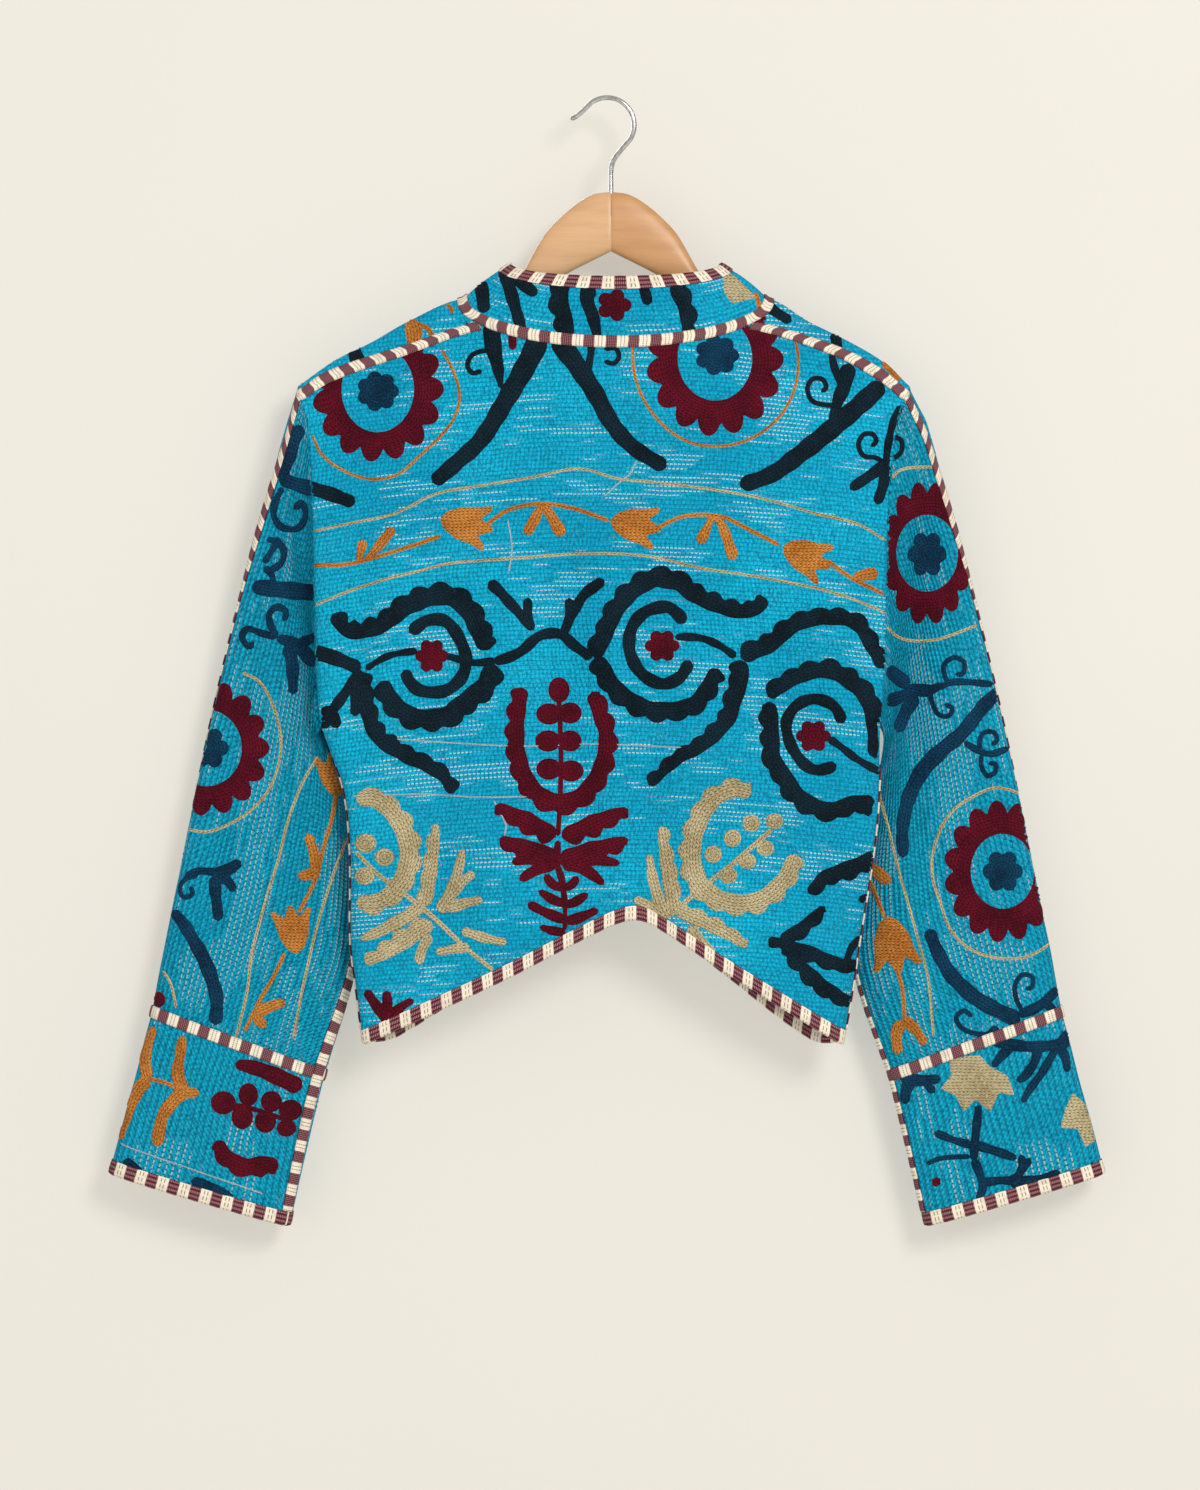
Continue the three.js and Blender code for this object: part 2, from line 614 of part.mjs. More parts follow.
// Collar, from the neck seam of the three panels up to its own top edge
function makeCollar(neckSeam) {
  const topFor = (seam) => {
    const cosine = clamp((seam.x - NECK_X) / NECK_HALF, -1, 1);
    const sine = Math.sqrt(1 - cosine * cosine);
    const back = seam.y < RIDGE_Y;
    const dip = back ? COLLAR_BACK_DIP : COLLAR_FRONT_DIP;
    const depth = back ? COLLAR_BACK_Y : COLLAR_FRONT_Y;
    const lean = COLLAR_TOP_HALF / NECK_HALF;
    const toFront = smooth((sine - UPRIGHT.from) / UPRIGHT.over);
    const upright = back ? lean : lerp(lean, 1, toFront);
    const x = NECK_X + (seam.x - NECK_X) * upright;
    const y = RIDGE_Y + depth * (back ? sine : Math.sqrt(sine));
    return new THREE.Vector3(x, y, COLLAR_TOP_Z - dip * sine);
  };
  const bow = (seam, top, share) => {
    const point = seam.clone().lerp(top, share);
    const away = new THREE.Vector3(seam.x - NECK_X, seam.y * COLLAR_BOW_DEPTH, 0).normalize();
    return point.addScaledVector(away, COLLAR_BOW * Math.sin(share * Math.PI));
  };
  const rows = [neckSeam.map((point) => point.clone())];
  for (const share of COLLAR_ROWS) rows.push(neckSeam.map((seam) => bow(seam, topFor(seam), share)));
  return rows;
}

// Every panel, as a grid of points in the middle of its wall
const back = makeBack();
const panels = { back };
const lastColumn = back[0].length - 1;
const shoulderCount = EDGE_COLUMNS.length + CORNER_COLUMNS + 2;
const seamRows = { back: BACK_UPPER.length + 1, front: FRONT_ARCH.length + 1 + FRONT_UPPER.length };
const neckRows = FRONT_ARCH.length + 1 + FRONT_NECK_HALF.length;
for (const side of [LEFT, RIGHT]) {
  const front = makeFront(side);
  // The shoulder seam and the side seam have one set of points
  for (let k = 0; k <= shoulderCount; k++) {
    front[0][k].copy(side === LEFT ? back[0][k] : back[0][lastColumn - k]);
  }
  panels[`front_${side.name}`] = front;
  const edge = side === LEFT ? 0 : lastColumn;
  const armBack = back.slice(0, seamRows.back + 1).map((row) => row[edge]);
  const armFront = front.slice(0, seamRows.front + 1).map((row) => row[0]);
  panels[`sleeve_back_${side.name}`] = makeSleeveHalf(side, "back", armBack);
  panels[`sleeve_front_${side.name}`] = makeSleeveHalf(side, "front", armFront);
  panels[`cuff_${side.name}`] = makeCuff(
    side,
    panels[`sleeve_back_${side.name}`],
    panels[`sleeve_front_${side.name}`],
  );
}
const neckOf = (front) => front.slice(1, neckRows + 1).map((row) => row[row.length - 1]);
panels.collar = makeCollar([
  ...neckOf(panels.front_left).reverse(),
  ...back[0].slice(shoulderCount, lastColumn - shoulderCount + 1),
  ...neckOf(panels.front_right),
]);

// Normals, shared by the panels that meet at a point, so that their walls meet in a mitre
const keyOf = (point) => `${point.x.toFixed(3)} ${point.y.toFixed(3)} ${point.z.toFixed(3)}`;
const sharedNormals = new Map();
const panelSigns = {};

function gridNormal(grid, j, i) {
  const up = grid[Math.min(j + 1, grid.length - 1)][i];
  const down = grid[Math.max(j - 1, 0)][i];
  const next = grid[j][Math.min(i + 1, grid[j].length - 1)];
  const before = grid[j][Math.max(i - 1, 0)];
  return new THREE.Vector3()
    .crossVectors(up.clone().sub(down), next.clone().sub(before))
    .normalize();
}

// A panel's outside faces away from the middle of the body or of its own sleeve
function outsideSign(name, grid) {
  const j = Math.floor(grid.length / 2);
  const i = name.startsWith("cuff") ? 4 : Math.floor(grid[j].length / 2);
  const normal = gridNormal(grid, j, i);
  const face = name.includes("front") ? 1 : -1;
  return Math.sign(normal.y * face) || 1;
}

for (const [name, grid] of Object.entries(panels)) {
  panelSigns[name] = outsideSign(name, grid);
  grid.forEach((row, j) =>
    row.forEach((point, i) => {
      const key = keyOf(point);
      const normal = gridNormal(grid, j, i).multiplyScalar(panelSigns[name]);
      if (!sharedNormals.has(key)) sharedNormals.set(key, []);
      sharedNormals.get(key).push(normal);
    }),
  );
}

// Where two walls meet at a corner the shared normal is longer, to keep their thickness
function normalAt(point) {
  const normals = sharedNormals.get(keyOf(point));
  const sum = normals.reduce((total, normal) => total.add(normal), new THREE.Vector3()).normalize();
  const least = Math.min(...normals.map((normal) => normal.dot(sum)));
  return sum.multiplyScalar(1 / clamp(least, MITRE_LEAST, 1));
}

// A closed solid between an outer and an inner grid of the same size
function shell(outer, inner) {
  const rows = outer.length;
  const columns = outer[0].length;
  const positions = [];
  for (const grid of [outer, inner]) {
    for (const row of grid) for (const point of row) positions.push(point.x, point.y, point.z);
  }
  const index = [];
  const at = (layer, j, i) => (layer * rows + j) * columns + i;
  const quad = (a, b, c, d) => index.push(a, b, c, a, c, d);
  // A bent quad is split along its shorter diagonal, so that a strip splits as the cloth under it does
  for (let j = 0; j < rows - 1; j++) {
    for (let i = 0; i < columns - 1; i++) {
      const falling = outer[j][i].distanceTo(outer[j + 1][i + 1]);
      const rising = outer[j][i + 1].distanceTo(outer[j + 1][i]);
      if (falling <= rising) {
        quad(at(0, j, i), at(0, j, i + 1), at(0, j + 1, i + 1), at(0, j + 1, i));
        quad(at(1, j + 1, i + 1), at(1, j, i + 1), at(1, j, i), at(1, j + 1, i));
      } else {
        quad(at(0, j, i + 1), at(0, j + 1, i + 1), at(0, j + 1, i), at(0, j, i));
        quad(at(1, j + 1, i), at(1, j + 1, i + 1), at(1, j, i + 1), at(1, j, i));
      }
    }
  }
  for (let i = 0; i < columns - 1; i++) {
    quad(at(0, 0, i), at(1, 0, i), at(1, 0, i + 1), at(0, 0, i + 1));
    quad(at(0, rows - 1, i), at(0, rows - 1, i + 1), at(1, rows - 1, i + 1), at(1, rows - 1, i));
  }
  for (let j = 0; j < rows - 1; j++) {
    quad(at(0, j, 0), at(0, j + 1, 0), at(1, j + 1, 0), at(1, j, 0));
    const end = columns - 1;
    quad(at(0, j, end), at(1, j, end), at(1, j + 1, end), at(0, j + 1, end));
  }
  const geometry = new THREE.BufferGeometry();
  geometry.setAttribute("position", new THREE.Float32BufferAttribute(positions, 3));
  geometry.setIndex(index);
  return facingOut(geometry);
}

function facingOut(geometry) {
  const p = geometry.attributes.position;
  const index = geometry.index.array;
  const [a, b, c] = [new THREE.Vector3(), new THREE.Vector3(), new THREE.Vector3()];
  let volume = 0;
  for (let k = 0; k < index.length; k += 3) {
    a.fromBufferAttribute(p, index[k]);
    b.fromBufferAttribute(p, index[k + 1]);
    c.fromBufferAttribute(p, index[k + 2]);
    volume += a.dot(b.cross(c));
  }
  if (volume < 0) {
    for (let k = 0; k < index.length; k += 3) {
      [index[k + 1], index[k + 2]] = [index[k + 2], index[k + 1]];
    }
  }
  geometry.computeVertexNormals();
  return geometry;
}

// The panel's wall, drawn back a little from each seam
function panelShell(grid, sewn) {
  const rows = grid.length - 1;
  const columns = grid[0].length - 1;
  const pulled = grid.map((row, j) =>
    row.map((point, i) => {
      const to = point.clone();
      const pull = (other) => to.addScaledVector(other.clone().sub(point).normalize(), SEAM_PULL);
      if (j === 0 && sewn.top) pull(grid[1][i]);
      if (j === rows && sewn.bottom) pull(grid[rows - 1][i]);
      if (i === 0 && sewn.start) pull(row[1]);
      if (i === columns && sewn.end) pull(row[columns - 1]);
      return to;
    }),
  );
  const moved = (out) =>
    pulled.map((row, j) => row.map((point, i) => point.clone().addScaledVector(normalAt(grid[j][i]), out)));
  return shell(moved(WALL / 2), moved(-WALL / 2));
}

// A station of a strip: places across it, each a point of a panel and its normal
const node = (point) => ({ point: point.clone(), normal: normalAt(point) });
const between = (a, b, share) => ({
  point: a.point.clone().lerp(b.point, share),
  normal: a.normal.clone().lerp(b.normal, share),
});
const blendStations = (a, b, share) => a.map((place, k) => between(place, b[k], share));

// Cuts a strip's first or last station back by a length
function trimmed(stations, startCut, endCut) {
  const cut = (list, length) => {
    let left = length;
    const rest = list.slice();
    while (left > 0) {
      const step = rest[0][1].point.distanceTo(rest[1][1].point);
      if (step > left) {
        rest[0] = blendStations(rest[0], rest[1], left / step);
        left = 0;
      } else {
        rest.shift();
        left -= step;
      }
    }
    return rest;
  };
  return cut(cut(stations, startCut).reverse(), endCut).reverse();
}

// A strip that lies flat over a seam
function flatStrip(stations) {
  const low = WALL / 2 + BINDING_GAP;
  const layer = (out) =>
    stations.map((places) => places.map(({ point, normal }) => point.clone().addScaledVector(normal, out)));
  return shell(layer(low + BINDING_THICK), layer(low));
}

// A strip folded over an edge: each station is the place inside and the place on the edge
function edgeStrip(stations) {
  const layer = (out) =>
    stations.map(([inside, edge]) => {
      const off = edge.point.clone().sub(inside.point).normalize();
      const tip = edge.point.clone().addScaledVector(off, out);
      const reach = WALL / 2 + out;
      return [
        inside.point.clone().addScaledVector(inside.normal, reach),
        tip.clone().addScaledVector(edge.normal, reach),
        tip.clone().addScaledVector(edge.normal, -reach),
        inside.point.clone().addScaledVector(inside.normal, -reach),
      ];
    });
  return shell(layer(BINDING_GAP + BINDING_THICK), layer(BINDING_GAP));
}

const column = (grid, i) => grid.map((row) => row[i < 0 ? row.length + i : i]);
const acrossSeam = (a, seam, b) => seam.map((point, k) => [node(a[k]), node(point), node(b[k])]);
const acrossEdge = (inside, edge) => edge.map((point, k) => [node(inside[k]), node(point)]);

// Materials
const cloth = (color) => new THREE.MeshStandardMaterial({ color, roughness: 0.95, metalness: 0 });
const woodMaterial = (color) => new THREE.MeshStandardMaterial({ color, roughness: 0.5, metalness: 0 });
const group = new THREE.Group();

function add(name, geometry, material) {
  const mesh = new THREE.Mesh(geometry, material);
  mesh.name = name;
  group.add(mesh);
}
const addPanel = (name, sewn) => add(name, panelShell(panels[name], sewn), cloth(0x1eafd2));
const addStrip = (name, geometry) => add(name, geometry, cloth(0x7a3244));

addPanel("back", { top: true, start: true, end: true });
addPanel("collar", { top: true });

// Strips of the neck
const collar = panels.collar;
const neckInside = [
  ...panels.front_left.slice(1, neckRows + 1).map((row) => row[row.length - 2]).reverse(),
  ...back[1].slice(shoulderCount, lastColumn - shoulderCount + 1),
  ...panels.front_right.slice(1, neckRows + 1).map((row) => row[row.length - 2]),
];
const neckStations = acrossSeam(neckInside, collar[0], collar[1]);
const edgeClear = BINDING_EDGE + STRIP_GAP;
addStrip("binding_neck_seam", flatStrip(trimmed(neckStations, edgeClear, edgeClear)));
const collarTop = collar.length - 1;
const collarStations = acrossEdge(collar[collarTop - 1], collar[collarTop]);
addStrip("binding_collar_top", edgeStrip(trimmed(collarStations, edgeClear, edgeClear)));
addStrip(
  "binding_hem_back",
  edgeStrip(trimmed(acrossEdge(back[back.length - 2], back[back.length - 1]), SEAM_PULL, SEAM_PULL)),
);

for (const side of [LEFT, RIGHT]) {
  const front = panels[`front_${side.name}`];
  const sleeveBack = panels[`sleeve_back_${side.name}`];
  const sleeveFront = panels[`sleeve_front_${side.name}`];
  const cuff = panels[`cuff_${side.name}`];
  const edge = side === LEFT ? 0 : lastColumn;
  const beside = side === LEFT ? 1 : lastColumn - 1;
  addPanel(`front_${side.name}`, { top: true, start: true, end: false });
  addPanel(`sleeve_back_${side.name}`, { top: true, bottom: true, start: true, end: true });
  addPanel(`sleeve_front_${side.name}`, { top: true, bottom: true, start: true, end: true });
  addPanel(`cuff_${side.name}`, { top: true, start: true, end: true });

  // Shoulder and over the arm, from the neck to the cuff
  const shoulder = front[0].map((point, k) => {
    const inBack = side === LEFT ? back[1][k] : back[1][lastColumn - k];
    return [node(inBack), node(point), node(front[1][k])];
  });
  const overarm = acrossSeam(column(sleeveBack, 1), column(sleeveBack, 0), column(sleeveFront, 1));
  const shoulderStrip = [...shoulder.reverse(), ...overarm.slice(1)];
  const strip = trimmed(shoulderStrip, BINDING_HALF + NECK_CORNER_GAP, BINDING_HALF + STRIP_GAP);
  addStrip(`binding_shoulder_${side.name}`, flatStrip(strip));

  // Side seam, from under the arm to the hem
  const below = seamRows.back;
  const sideBack = back.slice(below).map((row) => row[beside]);
  const sideSeam = back.slice(below).map((row) => row[edge]);
  const sideFront = front.slice(seamRows.front).map((row) => row[1]);
  const sideStations = acrossSeam(sideBack, sideSeam, sideFront);
  addStrip(`binding_side_${side.name}`, flatStrip(trimmed(sideStations, UNDERARM_CLEAR, edgeClear)));

  // Under the arm, from the armhole to the cuff's end
  const last = sleeveBack.length - 1;
  const underBack = [...column(sleeveBack, -2), ...column(cuff, 1).slice(1)];
  const underSeam = [...column(sleeveBack, -1), ...column(cuff, 0).slice(1)];
  const underFront = [...column(sleeveFront, -2), ...column(cuff, -2).slice(1)];
  const underStations = acrossSeam(underBack, underSeam, underFront);
  addStrip(`binding_underarm_${side.name}`, flatStrip(trimmed(underStations, UNDERARM_CLEAR, edgeClear)));

  // Cuff seam and cuff end
  const joinAbove = [...sleeveBack[last - 1].slice().reverse(), ...sleeveFront[last - 1].slice(1)];
  const joinStations = acrossSeam(joinAbove, cuff[0], cuff[1]);
  const clear = BINDING_HALF + STRIP_GAP;
  addStrip(`binding_cuff_seam_${side.name}`, flatStrip(trimmed(joinStations, clear, clear)));
  const cuffEnd = acrossEdge(cuff[cuff.length - 2], cuff[cuff.length - 1]);
  addStrip(`binding_cuff_end_${side.name}`, edgeStrip(trimmed(cuffEnd, SEAM_PULL, SEAM_PULL)));

  // Front edge, with the collar's end, and the front hem
  const collarEnd = side === LEFT ? 0 : collar[0].length - 1;
  const collarIn = side === LEFT ? 1 : collar[0].length - 2;
  const openEdge = [...column(collar, collarEnd).reverse(), ...column(front, -1).slice(neckRows + 1)];
  const openInside = [...column(collar, collarIn).reverse(), ...column(front, -2).slice(neckRows + 1)];
  addStrip(`binding_front_edge_${side.name}`, edgeStrip(acrossEdge(openInside, openEdge)));
  const hemEdge = acrossEdge(front[front.length - 2], front[front.length - 1]);
  addStrip(`binding_hem_front_${side.name}`, edgeStrip(trimmed(hemEdge, SEAM_PULL, edgeClear)));
}

// Hanger: each half is a row of rounded sections from the joint to the shoulder
function armStations(side) {
  const middle = WOOD_JOINT_X + side.sign * WOOD_JOINT_GAP;
  const stations = HANGER_ARM.map(({ out, top, bottom }) => ({
    x: middle + side.sign * out,
    top,
    bottom,
    half: WOOD_HALF,
  }));
  for (const { share, height } of ARM_SHOULDER) {
    const x = middle + side.sign * lerp(ARM_NECK_OUT, ARM_REACH, share);
    const crest = read(CREST, "x", x, "z") - WOOD_CLEAR;
    const full = clamp((height - TIP.height) / TIP.over, 0, 1);
    const top = crest - (1 - full) * TIP.drop;
    stations.push({ x, top, bottom: top - height, half: lerp(TIP.half, WOOD_HALF, full) });
  }
  return stations;
}

function hangerHalf(side) {
  const stations = armStations(side);
  const positions = [];
  for (const { x, top, bottom, half } of stations) {
    for (let k = 0; k < WOOD_SIDES; k++) {
      const angle = (k / WOOD_SIDES) * 2 * Math.PI;
      const exponent = 2 / (Math.cos(angle) > 0 ? WOOD_TOP_POWER : WOOD_UNDER_POWER);
      const y = half * power(Math.sin(angle), exponent);
      const z = (top + bottom) / 2 + ((top - bottom) / 2) * power(Math.cos(angle), exponent);
      positions.push(x, y, z);
    }
  }
  const index = [];
  const at = (j, k) => j * WOOD_SIDES + (k % WOOD_SIDES);
  for (let j = 0; j < stations.length - 1; j++) {
    for (let k = 0; k < WOOD_SIDES; k++) {
      index.push(at(j, k), at(j, k + 1), at(j + 1, k + 1), at(j, k), at(j + 1, k + 1), at(j + 1, k));
    }
  }
  for (let k = 1; k < WOOD_SIDES - 1; k++) {
    index.push(at(0, 0), at(0, k + 1), at(0, k));
    index.push(at(stations.length - 1, 0), at(stations.length - 1, k), at(stations.length - 1, k + 1));
  }
  const geometry = new THREE.BufferGeometry();
  geometry.setAttribute("position", new THREE.Float32BufferAttribute(positions, 3));
  geometry.setIndex(index);
  return facingOut(geometry);
}

function solidFrom(geometry) {
  const bare = geometry.clone();
  bare.deleteAttribute("normal");
  if (bare.attributes.uv) bare.deleteAttribute("uv");
  const merged = mergeVertices(bare, 1e-4);
  return new wasm.Manifold(
    new wasm.Mesh({
      numProp: 3,
      vertProperties: merged.attributes.position.array,
      triVerts: new Uint32Array(merged.index.array),
    }),
  );
}

function geometryFrom(solid) {
  const mesh = solid.getMesh();
  const geometry = new THREE.BufferGeometry();
  geometry.setAttribute("position", new THREE.BufferAttribute(mesh.vertProperties, 3));
  geometry.setIndex(new THREE.BufferAttribute(mesh.triVerts, 1));
  geometry.computeVertexNormals();
  return geometry;
}

const woodTop = HANGER_ARM[0].top;
const boreTop = woodTop + BORE_PAST.above;
const boreLength = STEM_DEPTH + BORE_PAST.below + BORE_PAST.above;
const bore = new THREE.CylinderGeometry(BORE_RADIUS, BORE_RADIUS, boreLength, BORE_SIDES)
  .rotateX(90 * DEGREE)
  .translate(WOOD_JOINT_X, 0, boreTop - boreLength / 2);
const boreSolid = solidFrom(bore);
for (const side of [LEFT, RIGHT]) {
  const half = solidFrom(hangerHalf(side)).subtract(boreSolid);
  add(`hanger_${side.name}`, geometryFrom(half), woodMaterial(side === LEFT ? 0xdaa873 : 0xcd9660));
}

// Hook: a bend whose inside top is the origin, a tip that turns out, and a stem into the wood
const bendZ = WIRE_RADIUS - HOOK_BEND;
function bendPoint(degrees) {
  const angle = degrees * DEGREE;
  return new THREE.Vector3(HOOK_BEND * Math.cos(angle), 0, bendZ + HOOK_BEND * Math.sin(angle));
}
const hookLine = new THREE.CatmullRomCurve3([
  ...HOOK_TIP.map(({ x, z }) => new THREE.Vector3(x, 0, z)),
  ...HOOK_ANGLES.map(bendPoint),
  ...HOOK_NECK.map(({ x, z }) => new THREE.Vector3(x, 0, z)),
  new THREE.Vector3(WOOD_JOINT_X, 0, woodTop - STEM_DEPTH + 1),
]);
const wire = new THREE.Shape();
wire.absarc(0, 0, WIRE_RADIUS, 0, 2 * Math.PI);
add(
  "hook",
  new THREE.ExtrudeGeometry(wire, { steps: HOOK_STEPS, curveSegments: HOOK_SIDES, extrudePath: hookLine }),
  new THREE.MeshStandardMaterial({ color: 0xc8c8c8, roughness: 0.2, metalness: 1 }),
);

export default group;
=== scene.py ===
"""Looks of a kantha jacket on a wooden hanger: quilted cloth, embroidery, striped bindings, wood and wire.

Lengths are millimetres until a mesh is made. The back of the jacket faces -Y and the wearer's left is at -X.
"""

import math

import bmesh
import bpy
import numpy as np
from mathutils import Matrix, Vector
from mathutils.bvhtree import BVHTree


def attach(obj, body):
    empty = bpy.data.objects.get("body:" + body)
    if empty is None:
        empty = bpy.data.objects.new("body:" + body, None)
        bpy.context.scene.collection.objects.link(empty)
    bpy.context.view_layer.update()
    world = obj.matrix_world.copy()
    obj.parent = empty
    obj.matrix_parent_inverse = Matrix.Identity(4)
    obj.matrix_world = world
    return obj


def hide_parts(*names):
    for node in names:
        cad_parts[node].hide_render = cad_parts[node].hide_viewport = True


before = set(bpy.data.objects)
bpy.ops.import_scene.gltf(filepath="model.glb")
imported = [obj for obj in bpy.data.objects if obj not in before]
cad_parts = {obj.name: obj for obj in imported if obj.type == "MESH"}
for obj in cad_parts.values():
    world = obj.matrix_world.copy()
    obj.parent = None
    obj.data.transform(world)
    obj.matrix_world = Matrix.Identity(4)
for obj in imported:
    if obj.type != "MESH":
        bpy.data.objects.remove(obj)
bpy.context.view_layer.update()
MM = 0.001

# Cloth and binding
WALL = 2.2
BINDING_HALF = 4.8
BINDING_EDGE = 9.6
BODY_ROW = 3.5
SLEEVE_ROW = 5.3

# Neck and collar
NECK_X = 7
NECK_HALF = 122
NECK_CREST_Z = -161
NECK_BACK_DROP = 36
NECK_FRONT_DROP = 100
NECK_BACK_Y = -32
NECK_CORNER = 101
COLLAR_TOP_HALF = 85
COLLAR_TOP_Z = -133
COLLAR_BACK_DIP = 13
COLLAR_FRONT_DIP = 86
COLLAR_BACK_Y = -29
COLLAR_FRONT_Y = 19
FRONT_GAP_HALF = 7

# Armhole
ARM_TOP_Z = -231
ARM_SEAM_Z = -239
UNDERARM_Z = -501
ARM_MIDDLE_Y = 3
ARM_HALF_DEPTH = 13
ARM_ROUND = 3

# Body
HEM_SIDE_Z = -757
RIDGE_Y = 1
ARCH_BACK_Y = -9
ARCH_FRONT_Y = 10.5
NECK_FLARE = 22
FALL = 150
ROUND = {"back": 5, "front": 3.5}
SLEEVE_ROUND = 2.7


def table(columns, *rows):
    """Rows of numbers with named columns, as one array a column."""
    names = columns.split()
    return {name: np.array([row[k] for row in rows], float) for k, name in enumerate(names)}


BODY_EDGES = table(
    "z left right",
    (-231, -248, 243),
    (-239, -247, 240),
    (-260, -241, 234),
    (-300, -237, 228),
    (-350, -235, 224),
    (-450, -232, 222),
    (-501, -229, 219),
    (-525, -221, 218),
    (-550, -211, 217),
    (-580, -206, 215),
    (-620, -204, 210),
    (-675, -204, 201),
    (-710, -200, 196),
    (-757, -194, 188),
)
CREST = table(
    "x z",
    (-248, -231),
    (-219, -211),
    (-188, -195),
    (-159, -179),
    (-115, -161),
    (129, -161),
    (161, -179),
    (194, -195),
    (221, -211),
    (243, -231),
)
SHOULDER_SEAM = table(
    "x z",
    (-247, -239),
    (-222, -223),
    (-166, -203),
    (-94, -181),
    (108, -181),
    (178, -200),
    (218, -221),
    (240, -239),
)
BACK_HEM = table(
    "x z",
    (-194, -757),
    (-82, -705),
    (-22, -674),
    (8, -660),
    (24, -657),
    (38, -662),
    (96, -700),
    (155, -737),
    (188, -757),
)
FRONT_HEM = table(
    "x z",
    (-194, -757),
    (-170, -753),
    (-80, -695),
    (0, -640),
    (14, -640),
    (90, -699),
    (165, -755),
    (188, -757),
)
FULLNESS = table(
    "z back front",
    (-180, -20, 12),
    (-240, -22, 14),
    (-320, -27, 16),
    (-450, -31, 18),
    (-600, -35, 17),
    (-757, -37, 15),
)
SIDE_SEAM = table("z y", (-501, 3), (-525, -3), (-550, -8), (-600, -12), (-757, -14))
BODY_FOLDS = [
    {"face": "back", "x": -18, "lean": 0.03, "width": 24, "top": -330, "bottom": -640, "depth": -4.5},
    {"face": "back", "x": -62, "lean": -0.12, "width": 30, "top": -300, "bottom": -690, "depth": 3},
    {"face": "back", "x": 122, "lean": 0.25, "width": 22, "top": -380, "bottom": -560, "depth": -3.5},
    {"face": "back", "x": 168, "lean": 0.1, "width": 20, "top": -330, "bottom": -700, "depth": 3},
    {"face": "back", "x": -150, "lean": 0.06, "width": 26, "top": -420, "bottom": -740, "depth": -3},
    {"face": "front", "x": -110, "lean": 0.08, "width": 28, "top": -300, "bottom": -700, "depth": 4},
    {"face": "front", "x": -50, "lean": 0.02, "width": 22, "top": -340, "bottom": -660, "depth": -3},
    {"face": "front", "x": 130, "lean": -0.06, "width": 26, "top": -320, "bottom": -690, "depth": 4},
    {"face": "front", "x": 66, "lean": 0.04, "width": 24, "top": -360, "bottom": -670, "depth": -3},
]
SLEEVE = table(
    "along outer_x outer_z outer_y inner_left inner_right inner_z inner_y depth",
    (0, 248, -231, 3, 229, 219, -501, 3, 13),
    (0.05, 256, -258, 4, 233, 224, -512, 8, 13),
    (0.1, 264, -285, 5, 229, 223, -528, 13, 14),
    (0.2, 279, -339, 8, 213, 218, -557, 18, 15),
    (0.4, 304, -439, 12, 204, 211, -613, 19, 17),
    (0.5, 316, -489, 13, 203, 206, -642, 19, 18),
    (0.6, 327, -538, 13, 203, 202, -671, 18, 19),
    (0.7, 337, -587, 13, 205, 202, -700, 16, 20),
    (0.8, 347, -637, 12, 211, 209, -728, 14, 20),
    (0.9, 357, -686, 12, 220, 219, -757, 13, 20),
    (1, 366, -734, 11, 229, 229, -785, 12, 20),
    (2, 400, -863, 10, 257, 258, -905, 11, 21),
)
SLEEVE_SEAMS = table(
    "along over under_left under_right",
    (0, 0.03, 0.5, 0.5),
    (0.1, 0.024, 0.5, 0.5),
    (0.3, 0.004, 0.5, 0.5),
    (0.5, -0.012, 0.492, 0.497),
    (1, -0.04, 0.464, 0.488),
    (2, -0.05, 0.468, 0.488),
)
SLEEVE_FOLDS = [
    {"round": 0.16, "along": 0.5, "span_round": 0.05, "span_along": 0.3, "depth": -4},
    {"round": 0.33, "along": 0.35, "span_round": 0.05, "span_along": 0.25, "depth": 3.5},
    {"round": 0.42, "along": 0.3, "span_round": 0.035, "span_along": 0.2, "depth": -4},
    {"round": 0.27, "along": 0.75, "span_round": 0.05, "span_along": 0.3, "depth": -3},
    {"round": 0.66, "along": 0.4, "span_round": 0.05, "span_along": 0.3, "depth": -4},
    {"round": 0.8, "along": 0.6, "span_round": 0.06, "span_along": 0.3, "depth": 3.5},
]

# Rows of the panels, as in the solids: each list is refined between its entries
BACK_UPPER = [0, 0.018, 0.08, 0.18, 0.3, 0.43, 0.56, 0.69, 0.81, 0.91, 0.97, 1]
FRONT_UPPER = [0, 0.12, 0.24, 0.36, 0.47, 0.58, 0.72, 0.86, 0.95, 1]
FRONT_NECK_HALF = [110, 90, 58, FRONT_GAP_HALF + BINDING_EDGE, FRONT_GAP_HALF]
FRONT_EDGE_Z = [-325, -385, -435, -475]
FINE = 6
LOWER_ROWS = 64
SIDE_COLUMNS = 38
NECK_COLUMNS = 48
SLEEVE_ROWS = 132
CUFF_ROWS = 34
COLLAR_ROWS = 16


def lerp(a, b, share):
    return a + (b - a) * share


def smooth(value):
    s = np.clip(value, 0, 1)
    return s * s * (3 - 2 * s)


